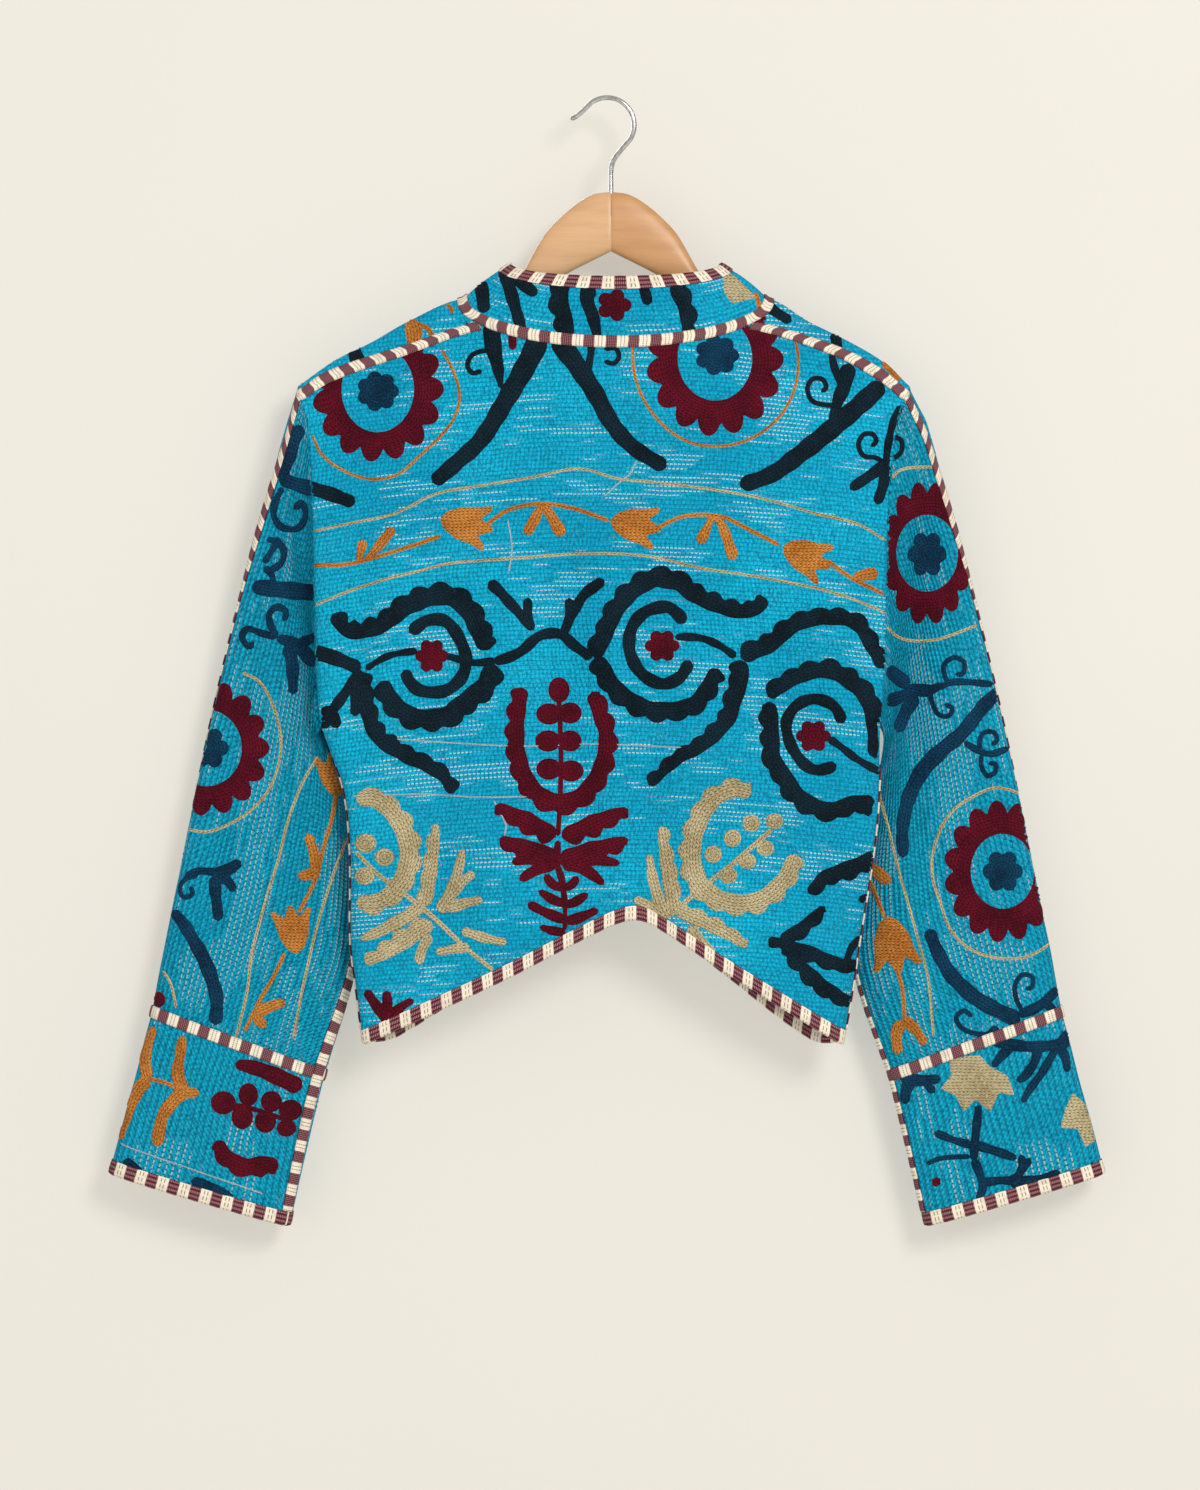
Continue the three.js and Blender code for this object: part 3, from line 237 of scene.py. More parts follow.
def read(rows, key, value, column):
    """A column of a table at any value of its key, on a smooth curve through the rows."""
    keys, heights = rows[key], rows[column]
    if keys[-1] < keys[0]:
        keys, heights = keys[::-1], heights[::-1]
    slopes = np.empty(len(keys))
    slopes[1:-1] = (heights[2:] - heights[:-2]) / (keys[2:] - keys[:-2])
    slopes[0] = (heights[1] - heights[0]) / (keys[1] - keys[0])
    slopes[-1] = (heights[-1] - heights[-2]) / (keys[-1] - keys[-2])
    i = np.clip(np.searchsorted(keys, value, side="right") - 1, 0, len(keys) - 2)
    step = keys[i + 1] - keys[i]
    s = np.clip((value - keys[i]) / step, 0, 1)
    return (
        heights[i] * (1 + 2 * s) * (1 - s) ** 2
        + slopes[i] * step * s * (1 - s) ** 2
        + heights[i + 1] * s * s * (3 - 2 * s)
        - slopes[i + 1] * step * s * s * (1 - s)
    )


def neck_side(x):
    return np.sqrt(np.maximum(0, 1 - ((x - NECK_X) / NECK_HALF) ** 2))


def seam_top_z(x):
    """Height of the back's own top: the neck seam, and the shoulder seams beside it."""
    neck = NECK_CREST_Z - NECK_BACK_DROP * neck_side(x)
    return np.where(np.abs(x - NECK_X) <= NECK_CORNER, neck, read(SHOULDER_SEAM, "x", x, "z"))


def seam_y(x):
    from_neck = np.abs(x - NECK_X) - NECK_CORNER
    corner_y = NECK_BACK_Y * neck_side(NECK_X - NECK_CORNER)
    flare = np.exp(-np.maximum(from_neck, 0) / NECK_FLARE)
    shoulder = ARCH_BACK_Y + (corner_y - ARCH_BACK_Y) * flare
    return np.where(from_neck <= 0, NECK_BACK_Y * neck_side(x), shoulder)


def arch(x):
    """Height of the shoulder's top over x, and how far the seam behind it lies below."""
    way = np.where(x < NECK_X, -1, 1)
    shoulder = np.where(np.abs(x - NECK_X) > NECK_CORNER, x, NECK_X + way * NECK_CORNER)
    crest = read(CREST, "x", shoulder, "z")
    return crest, crest - read(SHOULDER_SEAM, "x", shoulder, "z")


def face_y(face, x, z):
    crest, drop = arch(x)
    start = seam_y(x) if face == "back" else ARCH_FRONT_Y
    base = seam_top_z(x) if face == "back" else crest - drop
    down = np.clip((crest - z) / drop, 0, 1)
    over = RIDGE_Y + (start - RIDGE_Y) * np.sqrt(1 - (1 - down) ** 2)
    below = lerp(start, read(FULLNESS, "z", z, face), smooth((base - z) / FALL))
    return np.where(z > base, over, below)


def edge_y(face, z):
    middle = (ARM_TOP_Z + UNDERARM_Z) / 2
    share = np.clip(np.abs((z - middle) / (ARM_TOP_Z - middle)), 0, 1)
    out = (1 - share**ARM_ROUND) ** (1 / ARM_ROUND)
    loop = ARM_MIDDLE_Y + (-1 if face == "back" else 1) * ARM_HALF_DEPTH * out
    return np.where(z <= UNDERARM_Z, read(SIDE_SEAM, "z", z, "y"), loop)


def fold_y(face, x, z):
    out = 0
    for fold in BODY_FOLDS:
        if fold["face"] != face:
            continue
        middle = fold["x"] + fold["lean"] * (fold["top"] - z)
        inside = smooth((fold["top"] - z) / 90) * smooth((z - fold["bottom"]) / 60)
        out = out + fold["depth"] * inside * np.exp(-(((x - middle) / fold["width"]) ** 2))
    return -out if face == "back" else out


def body_points(face, x, z):
    left = read(BODY_EDGES, "z", z, "left")
    right = read(BODY_EDGES, "z", z, "right")
    across = np.clip((2 * x - left - right) / (right - left), -1, 1)
    swell = (1 - np.abs(across) ** ROUND[face]) ** (1 / ROUND[face])
    side = edge_y(face, z)
    y = side + (face_y(face, x, z) - side) * swell + fold_y(face, x, z) * swell
    return np.stack([x, y, z], axis=-1)


def points_along(line, distances):
    """Points at given distances from the start of a dense line."""
    travelled = travelled_along(line)
    return np.stack([np.interp(distances, travelled, line[:, k]) for k in range(3)], axis=-1)


def travelled_along(line):
    """Distance of each point of a line from its start."""
    return np.concatenate([[0], np.cumsum(np.linalg.norm(np.diff(line, axis=0), axis=1))])


def line_length(line):
    return float(np.linalg.norm(np.diff(line, axis=0), axis=1).sum())


def refined(values, per_step):
    """A list of numbers with even steps put between its entries."""
    places = np.linspace(0, len(values) - 1, (len(values) - 1) * per_step + 1)
    return np.interp(places, np.arange(len(values)), values)


def body_line(face, from_x, to_x, height_at, both_sides):
    s = np.linspace(0, 1, 481)
    near = 0.5 * (np.minimum(s, 1 - s) * 2) ** 4
    share = np.where(s < 0.5, near, 1 - near) if both_sides else s**4
    x = lerp(from_x, to_x, share)
    return body_points(face, x, height_at(x))


def edge_x(z, side):
    return float(read(BODY_EDGES, "z", z, side))


def shoulder_columns(length):
    """Distances of the columns between a side and the neck, closer together at the side."""
    return length * np.linspace(0, 1, SIDE_COLUMNS + 1) ** 1.35


def neck_corners():
    line = body_line("back", BODY_EDGES["left"][1], BODY_EDGES["right"][1], seam_top_z, True)
    travelled = travelled_along(line)
    corners = np.interp([NECK_X - NECK_CORNER, NECK_X + NECK_CORNER], line[:, 0], travelled)
    return corners / travelled[-1]


def make_back():
    low, high = neck_corners()

    def row(height_at, edge_z):
        line = body_line("back", edge_x(edge_z, "left"), edge_x(edge_z, "right"), height_at, True)
        length = line_length(line)
        left = shoulder_columns(length * low)
        right = length - shoulder_columns(length * (1 - high))[::-1]
        neck = np.linspace(length * low, length * high, NECK_COLUMNS + 1)[1:-1]
        return points_along(line, np.concatenate([left, neck, right]))

    rows = []
    for share in refined(BACK_UPPER, FINE):
        edge_z = lerp(ARM_SEAM_Z, UNDERARM_Z, share)
        rows.append(row(lambda x, s=share: lerp(seam_top_z(x), UNDERARM_Z, s), edge_z))
    for share in np.linspace(0, 1, LOWER_ROWS + 1)[1:]:
        edge_z = lerp(UNDERARM_Z, HEM_SIDE_Z, share)
        rows.append(row(lambda x, s=share: lerp(UNDERARM_Z, read(BACK_HEM, "x", x, "z"), s), edge_z))
    return np.array(rows)


def make_front(side, sign):
    """A front, from the shoulder seam on the back, over the top and down to the hem."""
    corner_z = float(seam_top_z(np.array(NECK_X + sign * NECK_CORNER)))
    corner_drop = float(arch(np.array(NECK_X + sign * NECK_CORNER))[1])

    def neck_x(z, drop):
        sine = np.clip((NECK_CREST_Z - z) / drop, 0, 1)
        return NECK_X + sign * max(NECK_HALF * math.sqrt(1 - sine * sine), FRONT_GAP_HALF)

    def row(face, edge_z, inner_x, height_at):
        line = body_line(face, edge_x(edge_z, side), inner_x, height_at, False)
        return points_along(line, shoulder_columns(line_length(line)))

    def arch_row(face, lift_at):
        inner_z = corner_z + lift_at(corner_drop)
        drop = NECK_BACK_DROP if face == "back" else NECK_FRONT_DROP
        edge_z = ARM_SEAM_Z + lift_at(ARM_TOP_Z - ARM_SEAM_Z)

        def height_at(x):
            crest, fall = arch(x)
            return crest - fall + lift_at(fall)

        return row(face, edge_z, neck_x(inner_z, drop), height_at), height_at

    strip_lift = lambda drop: np.minimum(BINDING_HALF, 0.6 * drop)
    first = lambda drop: np.arcsin(strip_lift(drop) / drop)
    rows = []
    for t in np.linspace(0, 1, FINE + 1):
        rows.append(arch_row("back", lambda drop, t=t: t * strip_lift(drop))[0])
    for t in np.linspace(0, 1, 2 * FINE + 1)[1:]:
        rows.append(arch_row("back", lambda drop, t=t: drop * np.sin(lerp(first(drop), math.pi / 2, t)))[0])
    for degrees in refined([90, 54, 0], FINE)[1:]:
        last_row, last_height = arch_row("front", lambda drop, a=degrees: drop * math.sin(math.radians(a)))
        rows.append(last_row)
    last_inner = neck_x(corner_z, NECK_FRONT_DROP)
    half = refined([abs(last_inner - NECK_X), *FRONT_NECK_HALF], FINE)
    neck_z = NECK_CREST_Z - NECK_FRONT_DROP * neck_side(NECK_X + sign * half)
    edge_part = refined([neck_z[-1], *FRONT_EDGE_Z], FINE)[1:]
    inner_xs = NECK_X + sign * np.concatenate([half, np.full(len(edge_part), FRONT_GAP_HALF)])
    inner_zs = np.concatenate([neck_z, edge_part])
    shares = refined(FRONT_UPPER, FINE)
    start_x = edge_x(ARM_SEAM_Z, side)
    for k in range(1, len(shares)):
        edge_z = lerp(ARM_SEAM_Z, UNDERARM_Z, shares[k])
        outer_x = edge_x(edge_z, side)
        fade = max(0, 1 - k / FINE)

        def height_at(x):
            inward = np.clip((x - outer_x) / (inner_xs[k] - outer_x), 0, 1)
            over_x = lerp(start_x, last_inner, inward)
            bump = last_height(over_x) - lerp(ARM_SEAM_Z, corner_z, inward)
            return lerp(edge_z, inner_zs[k], inward) + fade * bump

        rows.append(row("front", edge_z, inner_xs[k], height_at))
    front_edge = NECK_X + sign * FRONT_GAP_HALF
    for share in np.linspace(0, 1, LOWER_ROWS + 1)[1:]:
        edge_z = lerp(UNDERARM_Z, HEM_SIDE_Z, share)
        outer_x = edge_x(edge_z, side)

        def height_at(x):
            inward = np.clip((x - outer_x) / (front_edge - outer_x), 0, 1)
            top = lerp(UNDERARM_Z, FRONT_EDGE_Z[-1], inward)
            return lerp(top, read(FRONT_HEM, "x", x, "z"), share)

        rows.append(row("front", edge_z, front_edge, height_at))
    return np.array(rows)


def signed_power(value, exponent):
    return np.sign(value) * np.abs(value) ** exponent


def sleeve_section(side, sign, along):
    """A section of a sleeve or cuff as a dense closed line, from the outer point by the back."""
    get = lambda column: float(read(SLEEVE, "along", along, column))
    outer = np.array([sign * get("outer_x"), get("outer_z")])
    inner = np.array([sign * get("inner_" + side), get("inner_z")])
    turn = np.linspace(0, 1, 481)
    lengthwise = signed_power(np.cos(turn * 2 * math.pi), 2 / SLEEVE_ROUND)
    crosswise = signed_power(np.sin(turn * 2 * math.pi), 2 / SLEEVE_ROUND)
    outward = 0.5 + 0.5 * lengthwise
    place = inner + (outer - inner) * outward[:, None]
    out = 0
    for fold in SLEEVE_FOLDS:
        off_round = (turn - fold["round"]) / fold["span_round"]
        off_along = (along - fold["along"]) / fold["span_along"]
        out = out + fold["depth"] * np.exp(-(off_round**2) - off_along**2)
    ease = smooth(along / 0.2) * smooth((1.2 - along) / 0.3)
    y = lerp(get("inner_y"), get("outer_y"), outward) - crosswise * (get("depth") + out * ease)
    return np.stack([place[:, 0], y, place[:, 1]], axis=-1)


def section_part(side, sign, along, start, end, count):
    """Part of a section between two places round it, in count even steps between the strips' edges."""
    loop = sleeve_section(side, sign, along)
    turns = np.concatenate([loop[:-1], loop[:-1], loop])
    length = line_length(loop)
    from_here, to_here = length * (1 + start), length * (1 + end)
    way = np.sign(to_here - from_here)
    inner = np.linspace(from_here + way * BINDING_HALF, to_here - way * BINDING_HALF, count - 1)
    return points_along(turns, refined([from_here, *inner, to_here], FINE))


def sleeve_seams(side, along):
    return (
        float(read(SLEEVE_SEAMS, "along", along, "over")),
        float(read(SLEEVE_SEAMS, "along", along, "under_" + side)),
    )


def make_sleeve_half(side, sign, face, armhole):
    count = (len(armhole) - 1) // FINE
    over, under = sleeve_seams(side, 0)
    first = section_part(side, sign, 0, over, under if face == "back" else under - 1, count)
    rows = [armhole]
    for along in np.linspace(0, 1, SLEEVE_ROWS + 1)[1:]:
        over, under = sleeve_seams(side, along)
        part = section_part(side, sign, along, over, under if face == "back" else under - 1, count)
        rows.append(part + (armhole - first) * max(0, 1 - along / 0.05))
    return np.array(rows)


def make_cuff(side, sign, sleeve_back, sleeve_front):
    rows = [np.concatenate([sleeve_back[-1][::-1], sleeve_front[-1][1:]])]
    for along in np.linspace(1, 2, CUFF_ROWS + 1)[1:]:
        over, under = sleeve_seams(side, along)
        by_back = section_part(side, sign, along, over, under, (sleeve_back.shape[1] - 1) // FINE)
        by_front = section_part(side, sign, along, over, under - 1, (sleeve_front.shape[1] - 1) // FINE)
        rows.append(np.concatenate([by_back[::-1], by_front[1:]]))
    return np.array(rows)


def make_collar(seam):
    cosine = np.clip((seam[:, 0] - NECK_X) / NECK_HALF, -1, 1)
    sine = np.sqrt(1 - cosine * cosine)
    back = seam[:, 1] < RIDGE_Y
    lean = COLLAR_TOP_HALF / NECK_HALF
    upright = np.where(back, lean, lerp(lean, 1, smooth((sine - 0.8) / 0.19)))
    depth = np.where(back, COLLAR_BACK_Y * sine, COLLAR_FRONT_Y * np.sqrt(sine))
    dip = np.where(back, COLLAR_BACK_DIP, COLLAR_FRONT_DIP)
    x = NECK_X + (seam[:, 0] - NECK_X) * upright
    top = np.stack([x, RIDGE_Y + depth, COLLAR_TOP_Z - dip * sine], axis=-1)
    away = np.stack([seam[:, 0] - NECK_X, seam[:, 1] * 2, np.zeros(len(seam))], axis=-1)
    away /= np.linalg.norm(away, axis=1)[:, None]
    rows = []
    for share in np.linspace(0, 1, COLLAR_ROWS + 1):
        rows.append(lerp(seam, top, share) + away * 3 * math.sin(share * math.pi))
    return np.array(rows)


# Every panel as a grid of points in the middle of its wall
SIDES = {"left": -1, "right": 1}
SEAM_ROW = {"back": (len(BACK_UPPER) - 1) * FINE, "front": (5 + len(FRONT_UPPER) - 1) * FINE}
NECK_ROW = (5 + len(FRONT_NECK_HALF)) * FINE
grids = {"back": make_back()}
back = grids["back"]
last_column = back.shape[1] - 1
for side, sign in SIDES.items():
    front = make_front(side, sign)
    edge = 0 if side == "left" else last_column
    front[0] = back[0][: SIDE_COLUMNS + 1] if side == "left" else back[0][::-1][: SIDE_COLUMNS + 1]
    front[SEAM_ROW["front"] :, 0] = back[SEAM_ROW["back"] :, edge]
    grids["front_" + side] = front
    arm_back = back[: SEAM_ROW["back"] + 1, edge]
    arm_front = front[: SEAM_ROW["front"] + 1, 0]
    sleeve_back = make_sleeve_half(side, sign, "back", arm_back)
    sleeve_front = make_sleeve_half(side, sign, "front", arm_front)
    grids["sleeve_back_" + side] = sleeve_back
    grids["sleeve_front_" + side] = sleeve_front
    grids["cuff_" + side] = make_cuff(side, sign, sleeve_back, sleeve_front)
grids["collar"] = make_collar(
    np.concatenate(
        [
            grids["front_left"][FINE : NECK_ROW + 1, -1][::-1],
            back[0][SIDE_COLUMNS : last_column - SIDE_COLUMNS + 1],
            grids["front_right"][FINE : NECK_ROW + 1, -1],
        ]
    )
)


def grid_normals(grid):
    along = np.gradient(grid, axis=0)
    across = np.gradient(grid, axis=1)
    normals = np.cross(along, across)
    return normals / np.maximum(np.linalg.norm(normals, axis=2), 1e-9)[:, :, None]


def outside_sign(name, grid, normals):
    """A panel's outside faces away from the middle of the body or of its own sleeve."""
    j = len(grid) // 2
    i = 40 if name.startswith("cuff") else grid.shape[1] // 2
    return math.copysign(1, normals[j, i, 1] * (1 if "front" in name else -1))


def borders(grid):
    """Places of a grid's border points."""
    last_j, last_i = grid.shape[0] - 1, grid.shape[1] - 1
    places = [(j, i) for j in (0, last_j) for i in range(last_i + 1)]
    return places + [(j, i) for i in (0, last_i) for j in range(1, last_j)]


# Normals, shared where panels meet so that the walls meet too
normals = {}
signs = {}
shared = {}
for name, grid in grids.items():
    normal = grid_normals(grid)
    signs[name] = outside_sign(name, grid, normal)
    normals[name] = normal * signs[name]
    for j, i in borders(grid):
        shared.setdefault(tuple(np.round(grid[j, i], 2)), []).append((name, j, i))
for places in shared.values():
    total = sum(normals[name][j, i] for name, j, i in places)
    total /= max(np.linalg.norm(total), 1e-9)
    for name, j, i in places:
        normals[name][j, i] = total


def inset(points, distance):
    """Points at a distance in from the first of each column of a grid."""
    steps = np.linalg.norm(np.diff(points[:, :, :3], axis=0), axis=2)
    travelled = np.vstack([np.zeros(steps.shape[1]), np.cumsum(steps, axis=0)])
    out = np.empty(points.shape[1:])
    for i in range(points.shape[1]):
        for k in range(points.shape[2]):
            out[i, k] = np.interp(distance, travelled[:, i], points[:, i, k])
    return out


# Creases of the hanging cloth, on top of the solids' folds: from one place to another, in x and z
CREASES = table(
    "x z to_x to_z width depth",
    (-150, -330, -120, -480, 18, -3.2),
    (-178, -300, -166, -520, 14, 2.4),
    (-100, -280, -40, -330, 18, 1.8),
    (-196, -380, -206, -560, 16, -3.4),
    (-36, -300, -26, -650, 14, -7),
    (2, -320, 6, -660, 15, 3.2),
    (30, -440, 34, -640, 12, -2.6),
    (60, -420, 84, -560, 16, 2.2),
    (128, -420, 92, -500, 14, -2.6),
    (206, -360, 210, -560, 14, -3),
    (150, -270, 190, -420, 14, -1.5),
    (110, -520, 150, -410, 12, -2),
    (132, -540, 168, -430, 12, 1.8),
    (186, -330, 180, -560, 10, 1.5),
    (-120, -560, -150, -720, 16, -3),
    (-90, -600, -96, -690, 12, 2),
    (110, -600, 140, -710, 16, -2.8),
    (60, -600, 74, -680, 10, 1.1),
    (-196, -560, -150, -600, 14, 1.3),
    (196, -600, 150, -640, 12, 1.2),
)
ARM_CREASES = table(
    "x z to_x to_z width depth",
    (250, -250, 236, -620, 16, -10),
    (286, -340, 266, -620, 13, 3.6),
    (244, -500, 292, -580, 16, -4),
    (306, -480, 318, -660, 12, -3.2),
    (232, -560, 250, -740, 12, 3.4),
    (268, -640, 306, -720, 18, -3),
    (330, -660, 350, -740, 12, 2.4),
    (300, -790, 322, -880, 14, 2.6),
    (350, -770, 366, -850, 12, -2.4),
    (270, -800, 290, -880, 13, -2.2),
)


CREASE_FADE = 0.35  # share of a crease's length over which it fades in, and out again


def crease_height(creases, x, z):
    """How far creases move the cloth out at x, z."""
    total = np.zeros(x.shape)
    for k in range(len(creases["x"])):
        start = np.array([creases["x"][k], creases["z"][k]])
        way = np.array([creases["to_x"][k], creases["to_z"][k]]) - start
        length = np.linalg.norm(way)
        way = way / length
        off = np.stack([x - start[0], z - start[1]], axis=-1)
        along = off @ way
        beside = off @ np.array([way[1], -way[0]])
        fade_length = CREASE_FADE * length
        fade = smooth(along / fade_length) * smooth((length - along) / fade_length)
        total += creases["depth"][k] * fade * np.exp(-((beside / creases["width"][k]) ** 2))
    return total


def border_mask(grid, reach=22):
    """Zero on a panel's border and one further in than reach."""
    rows = np.linalg.norm(np.diff(grid, axis=0), axis=2)
    columns = np.linalg.norm(np.diff(grid, axis=1), axis=2)
    down = np.vstack([np.zeros(grid.shape[1]), np.cumsum(rows, axis=0)])
    over = np.hstack([np.zeros((grid.shape[0], 1)), np.cumsum(columns, axis=1)])
    near = np.minimum.reduce([down, down[-1] - down, over, over[:, -1:] - over])
    return smooth(near / reach)


def wobble(x, z):
    """Small unevenness of hand-quilted cloth."""
    return 0.35 * np.sin(x / 17 + np.sin(z / 31) * 2) * np.sin(z / 23 + 1.3 * np.sin(x / 41))


def is_arm(name):
    return name.startswith(("sleeve", "cuff"))


# The hidden front has the creases of the back, turned over and moved down
FRONT_CREASE_SHIFT = 23
outer, inner = {}, {}
for name, grid in grids.items():
    x, z = grid[:, :, 0], grid[:, :, 2]
    shift = FRONT_CREASE_SHIFT if "front" in name else 0
    flip = -1 if "front" in name else 1
    if is_arm(name):
        raised = crease_height(ARM_CREASES, np.abs(x), z + shift)
    else:
        raised = crease_height(CREASES, flip * x, z + shift)
    raised = (raised + wobble(x, z)) * border_mask(grid)
    outer[name] = grid + normals[name] * (raised + WALL / 2)[:, :, None]
    inner[name] = grid + normals[name] * (raised - WALL / 2)[:, :, None]


def new_object(name, mesh, material, smooth_faces=True):
    """An object in the scene, made from a mesh."""
    mesh.materials.append(material)
    if smooth_faces:
        mesh.polygons.foreach_set("use_smooth", [True] * len(mesh.polygons))
    made = bpy.data.objects.new(name, mesh)
    bpy.context.scene.collection.objects.link(made)
    return made


def make_mesh(name, points, faces, uvs=None):
    """A mesh from millimetre points, quads or triangles, and a UV for each point."""
    mesh = bpy.data.meshes.new(name)
    mesh.from_pydata((np.asarray(points) * MM).tolist(), [], faces)
    if uvs is not None:
        layer = mesh.uv_layers.new(name="UVMap")
        corners = np.empty(len(mesh.loops), int)
        mesh.loops.foreach_get("vertex_index", corners)
        layer.data.foreach_set("uv", np.asarray(uvs, np.float32)[corners].ravel())
    mesh.validate()
    return mesh


def grid_faces(rows, columns, start=0, flip=False):
    j, i = np.meshgrid(np.arange(rows - 1), np.arange(columns - 1), indexing="ij")
    a = (start + j * columns + i).ravel()
    quads = np.stack([a, a + 1, a + columns + 1, a + columns], axis=1)
    return (quads[:, ::-1] if flip else quads).tolist()


def edge_faces(rows, columns, count, flip):
    """The rim between an outer grid and an inner one that follows it in the list of points."""
    top = list(range(columns))
    right = [j * columns + columns - 1 for j in range(1, rows)]
    bottom = [(rows - 1) * columns + i for i in range(columns - 2, -1, -1)]
    left = [j * columns for j in range(rows - 2, 0, -1)]
    loop = top + right + bottom + left
    faces = []
    for a, b in zip(loop, loop[1:] + loop[:1]):
        face = [a, a + count, b + count, b]
        faces.append(face if not flip else face[::-1])
    return faces


def quilt_uv(name, grid):
    """Millimetres along a quilting row, and the number of the row."""
    widths = np.linalg.norm(np.diff(grid, axis=1), axis=2).mean(axis=0)
    over = np.concatenate([[0], np.cumsum(widths)])[None, :]
    steps = np.linalg.norm(np.diff(grid, axis=0), axis=2).mean(axis=1)
    down = np.concatenate([[0], np.cumsum(steps)])[:, None]
    if is_arm(name):
        return np.stack(np.broadcast_arrays(down, over / SLEEVE_ROW), axis=-1)
    if name == "collar":
        return np.stack(np.broadcast_arrays(over, down / BODY_ROW), axis=-1)
    x, z = grid[:, :, 0], grid[:, :, 2]
    sag = 0.0003 * (x - NECK_X) ** 2 + 1.2 * np.sin(x / 60) * np.sin(z / 90)
    return np.stack([x + (500 if "front" in name else 0), (z + sag) / BODY_ROW], axis=-1)


def make_panel(name, material):
    """The thin shell that stands for a panel's solid, with a rim between its two faces."""
    rows, columns = grids[name].shape[:2]
    count = rows * columns
    points = np.concatenate([outer[name].reshape(-1, 3), inner[name].reshape(-1, 3)])
    uv = quilt_uv(name, grids[name]).reshape(-1, 2)
    flip = signs[name] < 0
    faces = grid_faces(rows, columns, 0, flip) + grid_faces(rows, columns, count, not flip)
    faces += edge_faces(rows, columns, count, flip)
    mesh = make_mesh(name, points, faces, np.concatenate([uv, uv]))
    made = new_object("cloth_" + name, mesh, material)
    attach(made, "root")
    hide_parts(name)
    return made


def with_normals(points, directions):
    return np.concatenate([points, directions], axis=-1)


# Height of a strip above the cloth, where it lies flat and where it folds over an edge
FLAT_LIFT = 1.9
FOLDED_LIFT = 1.5
PUCKER = 0.12
PUCKER_PITCH = 9.1
UNDER_LIFT = 0.2
surface = {name: with_normals(outer[name], normals[name]) for name in grids}
lining = {name: with_normals(inner[name], -normals[name]) for name in grids}


def strip_mesh(name, rows, closed_under, material):
    """A striped strip from rows of points across it, each with its outward direction."""
    across, count = rows.shape[0], rows.shape[1]
    share = np.linspace(-1, 1, across)
    lift = FLAT_LIFT if closed_under else FOLDED_LIFT
    crown = lift * (1 - 0.35 * np.abs(share) ** 3)
    top = rows[:, :, :3] + rows[:, :, 3:] * crown[:, None, None]
    along = travelled_along(top[across // 2])
    pucker = PUCKER * np.sin(along / PUCKER_PITCH * 2 * math.pi)
    top = top + rows[:, :, 3:] * pucker[None, :, None]
    points = [top.reshape(-1, 3)]
    uv = np.stack(np.broadcast_arrays(along[None, :], share[:, None]), axis=-1).reshape(-1, 2)
    uvs = [uv]
    faces = grid_faces(across, count)
    if closed_under:
        under = rows[:, :, :3] + rows[:, :, 3:] * UNDER_LIFT
        points.append(under.reshape(-1, 3))
        uvs.append(uv)
        total = across * count
        faces += grid_faces(across, count, total, True)
        faces += edge_faces(across, count, total, False)
    mesh = make_mesh(name, np.concatenate(points), faces, np.concatenate(uvs))
    made = new_object("strip_" + name, mesh, material)
    fix_normals(made)
    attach(made, "root")
    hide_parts("binding_" + name)
    return made


def tube_faces(rings, sides):
    """Faces of a closed tube whose points run ring by ring, with a cap at each end."""
    faces = []
    for j in range(rings - 1):
        for k in range(sides):
            a, b = j * sides + k, j * sides + (k + 1) % sides
            faces.append([a, b, b + sides, a + sides])
    faces.append(list(range(sides))[::-1])
    faces.append([(rings - 1) * sides + k for k in range(sides)])
    return faces


def fix_normals(made):
    """Turns every face outwards."""
    bm = bmesh.new()
    bm.from_mesh(made.data)
    bmesh.ops.recalc_face_normals(bm, faces=bm.faces)
    bm.to_mesh(made.data)
    bm.free()


def cut_ends(rows, start, end):
    """Rows of a strip without a length at each end."""
    middle = rows[rows.shape[0] // 2, :, :3]
    travelled = travelled_along(middle)
    inside = (travelled > start) & (travelled < travelled[-1] - end)
    places = np.concatenate([[start], travelled[inside], [travelled[-1] - end]])
    out = np.empty((rows.shape[0], len(places), rows.shape[2]))
    for j in range(rows.shape[0]):
        for k in range(rows.shape[2]):
            out[j, :, k] = np.interp(places, travelled, rows[j, :, k])
    return out


# Distances of a strip's rows from its seam, and from the edge that it folds over
ACROSS = (BINDING_HALF, 3.4, 1.7)
DOWN_FROM_EDGE = (BINDING_EDGE, 7.5, 4.5, 1.8)
TIP_OUT = 0.6  # how far the fold of a strip stands off the edge under it
FOLD_TURN = (0.75, 0.65)  # shares of the face's and the edge's directions beside the fold
JOIN_REACH = 13  # lines of several panels are joined over this length


def flat_rows(one_side, other_side):
    """Rows across a seam from the two panels' lines that start on it."""
    rows = [inset(one_side, distance) for distance in ACROSS]
    seam = (one_side[0] + other_side[0]) / 2
    rows.append(seam)
    rows += [inset(other_side, distance) for distance in ACROSS[::-1]]
    rows = np.array(rows)
    # The strip bridges the seam instead of dipping into it
    bridge = 0.5 * (rows[2] + rows[4])
    rows[3] = 0.5 * rows[3] + 0.5 * bridge
    return rows


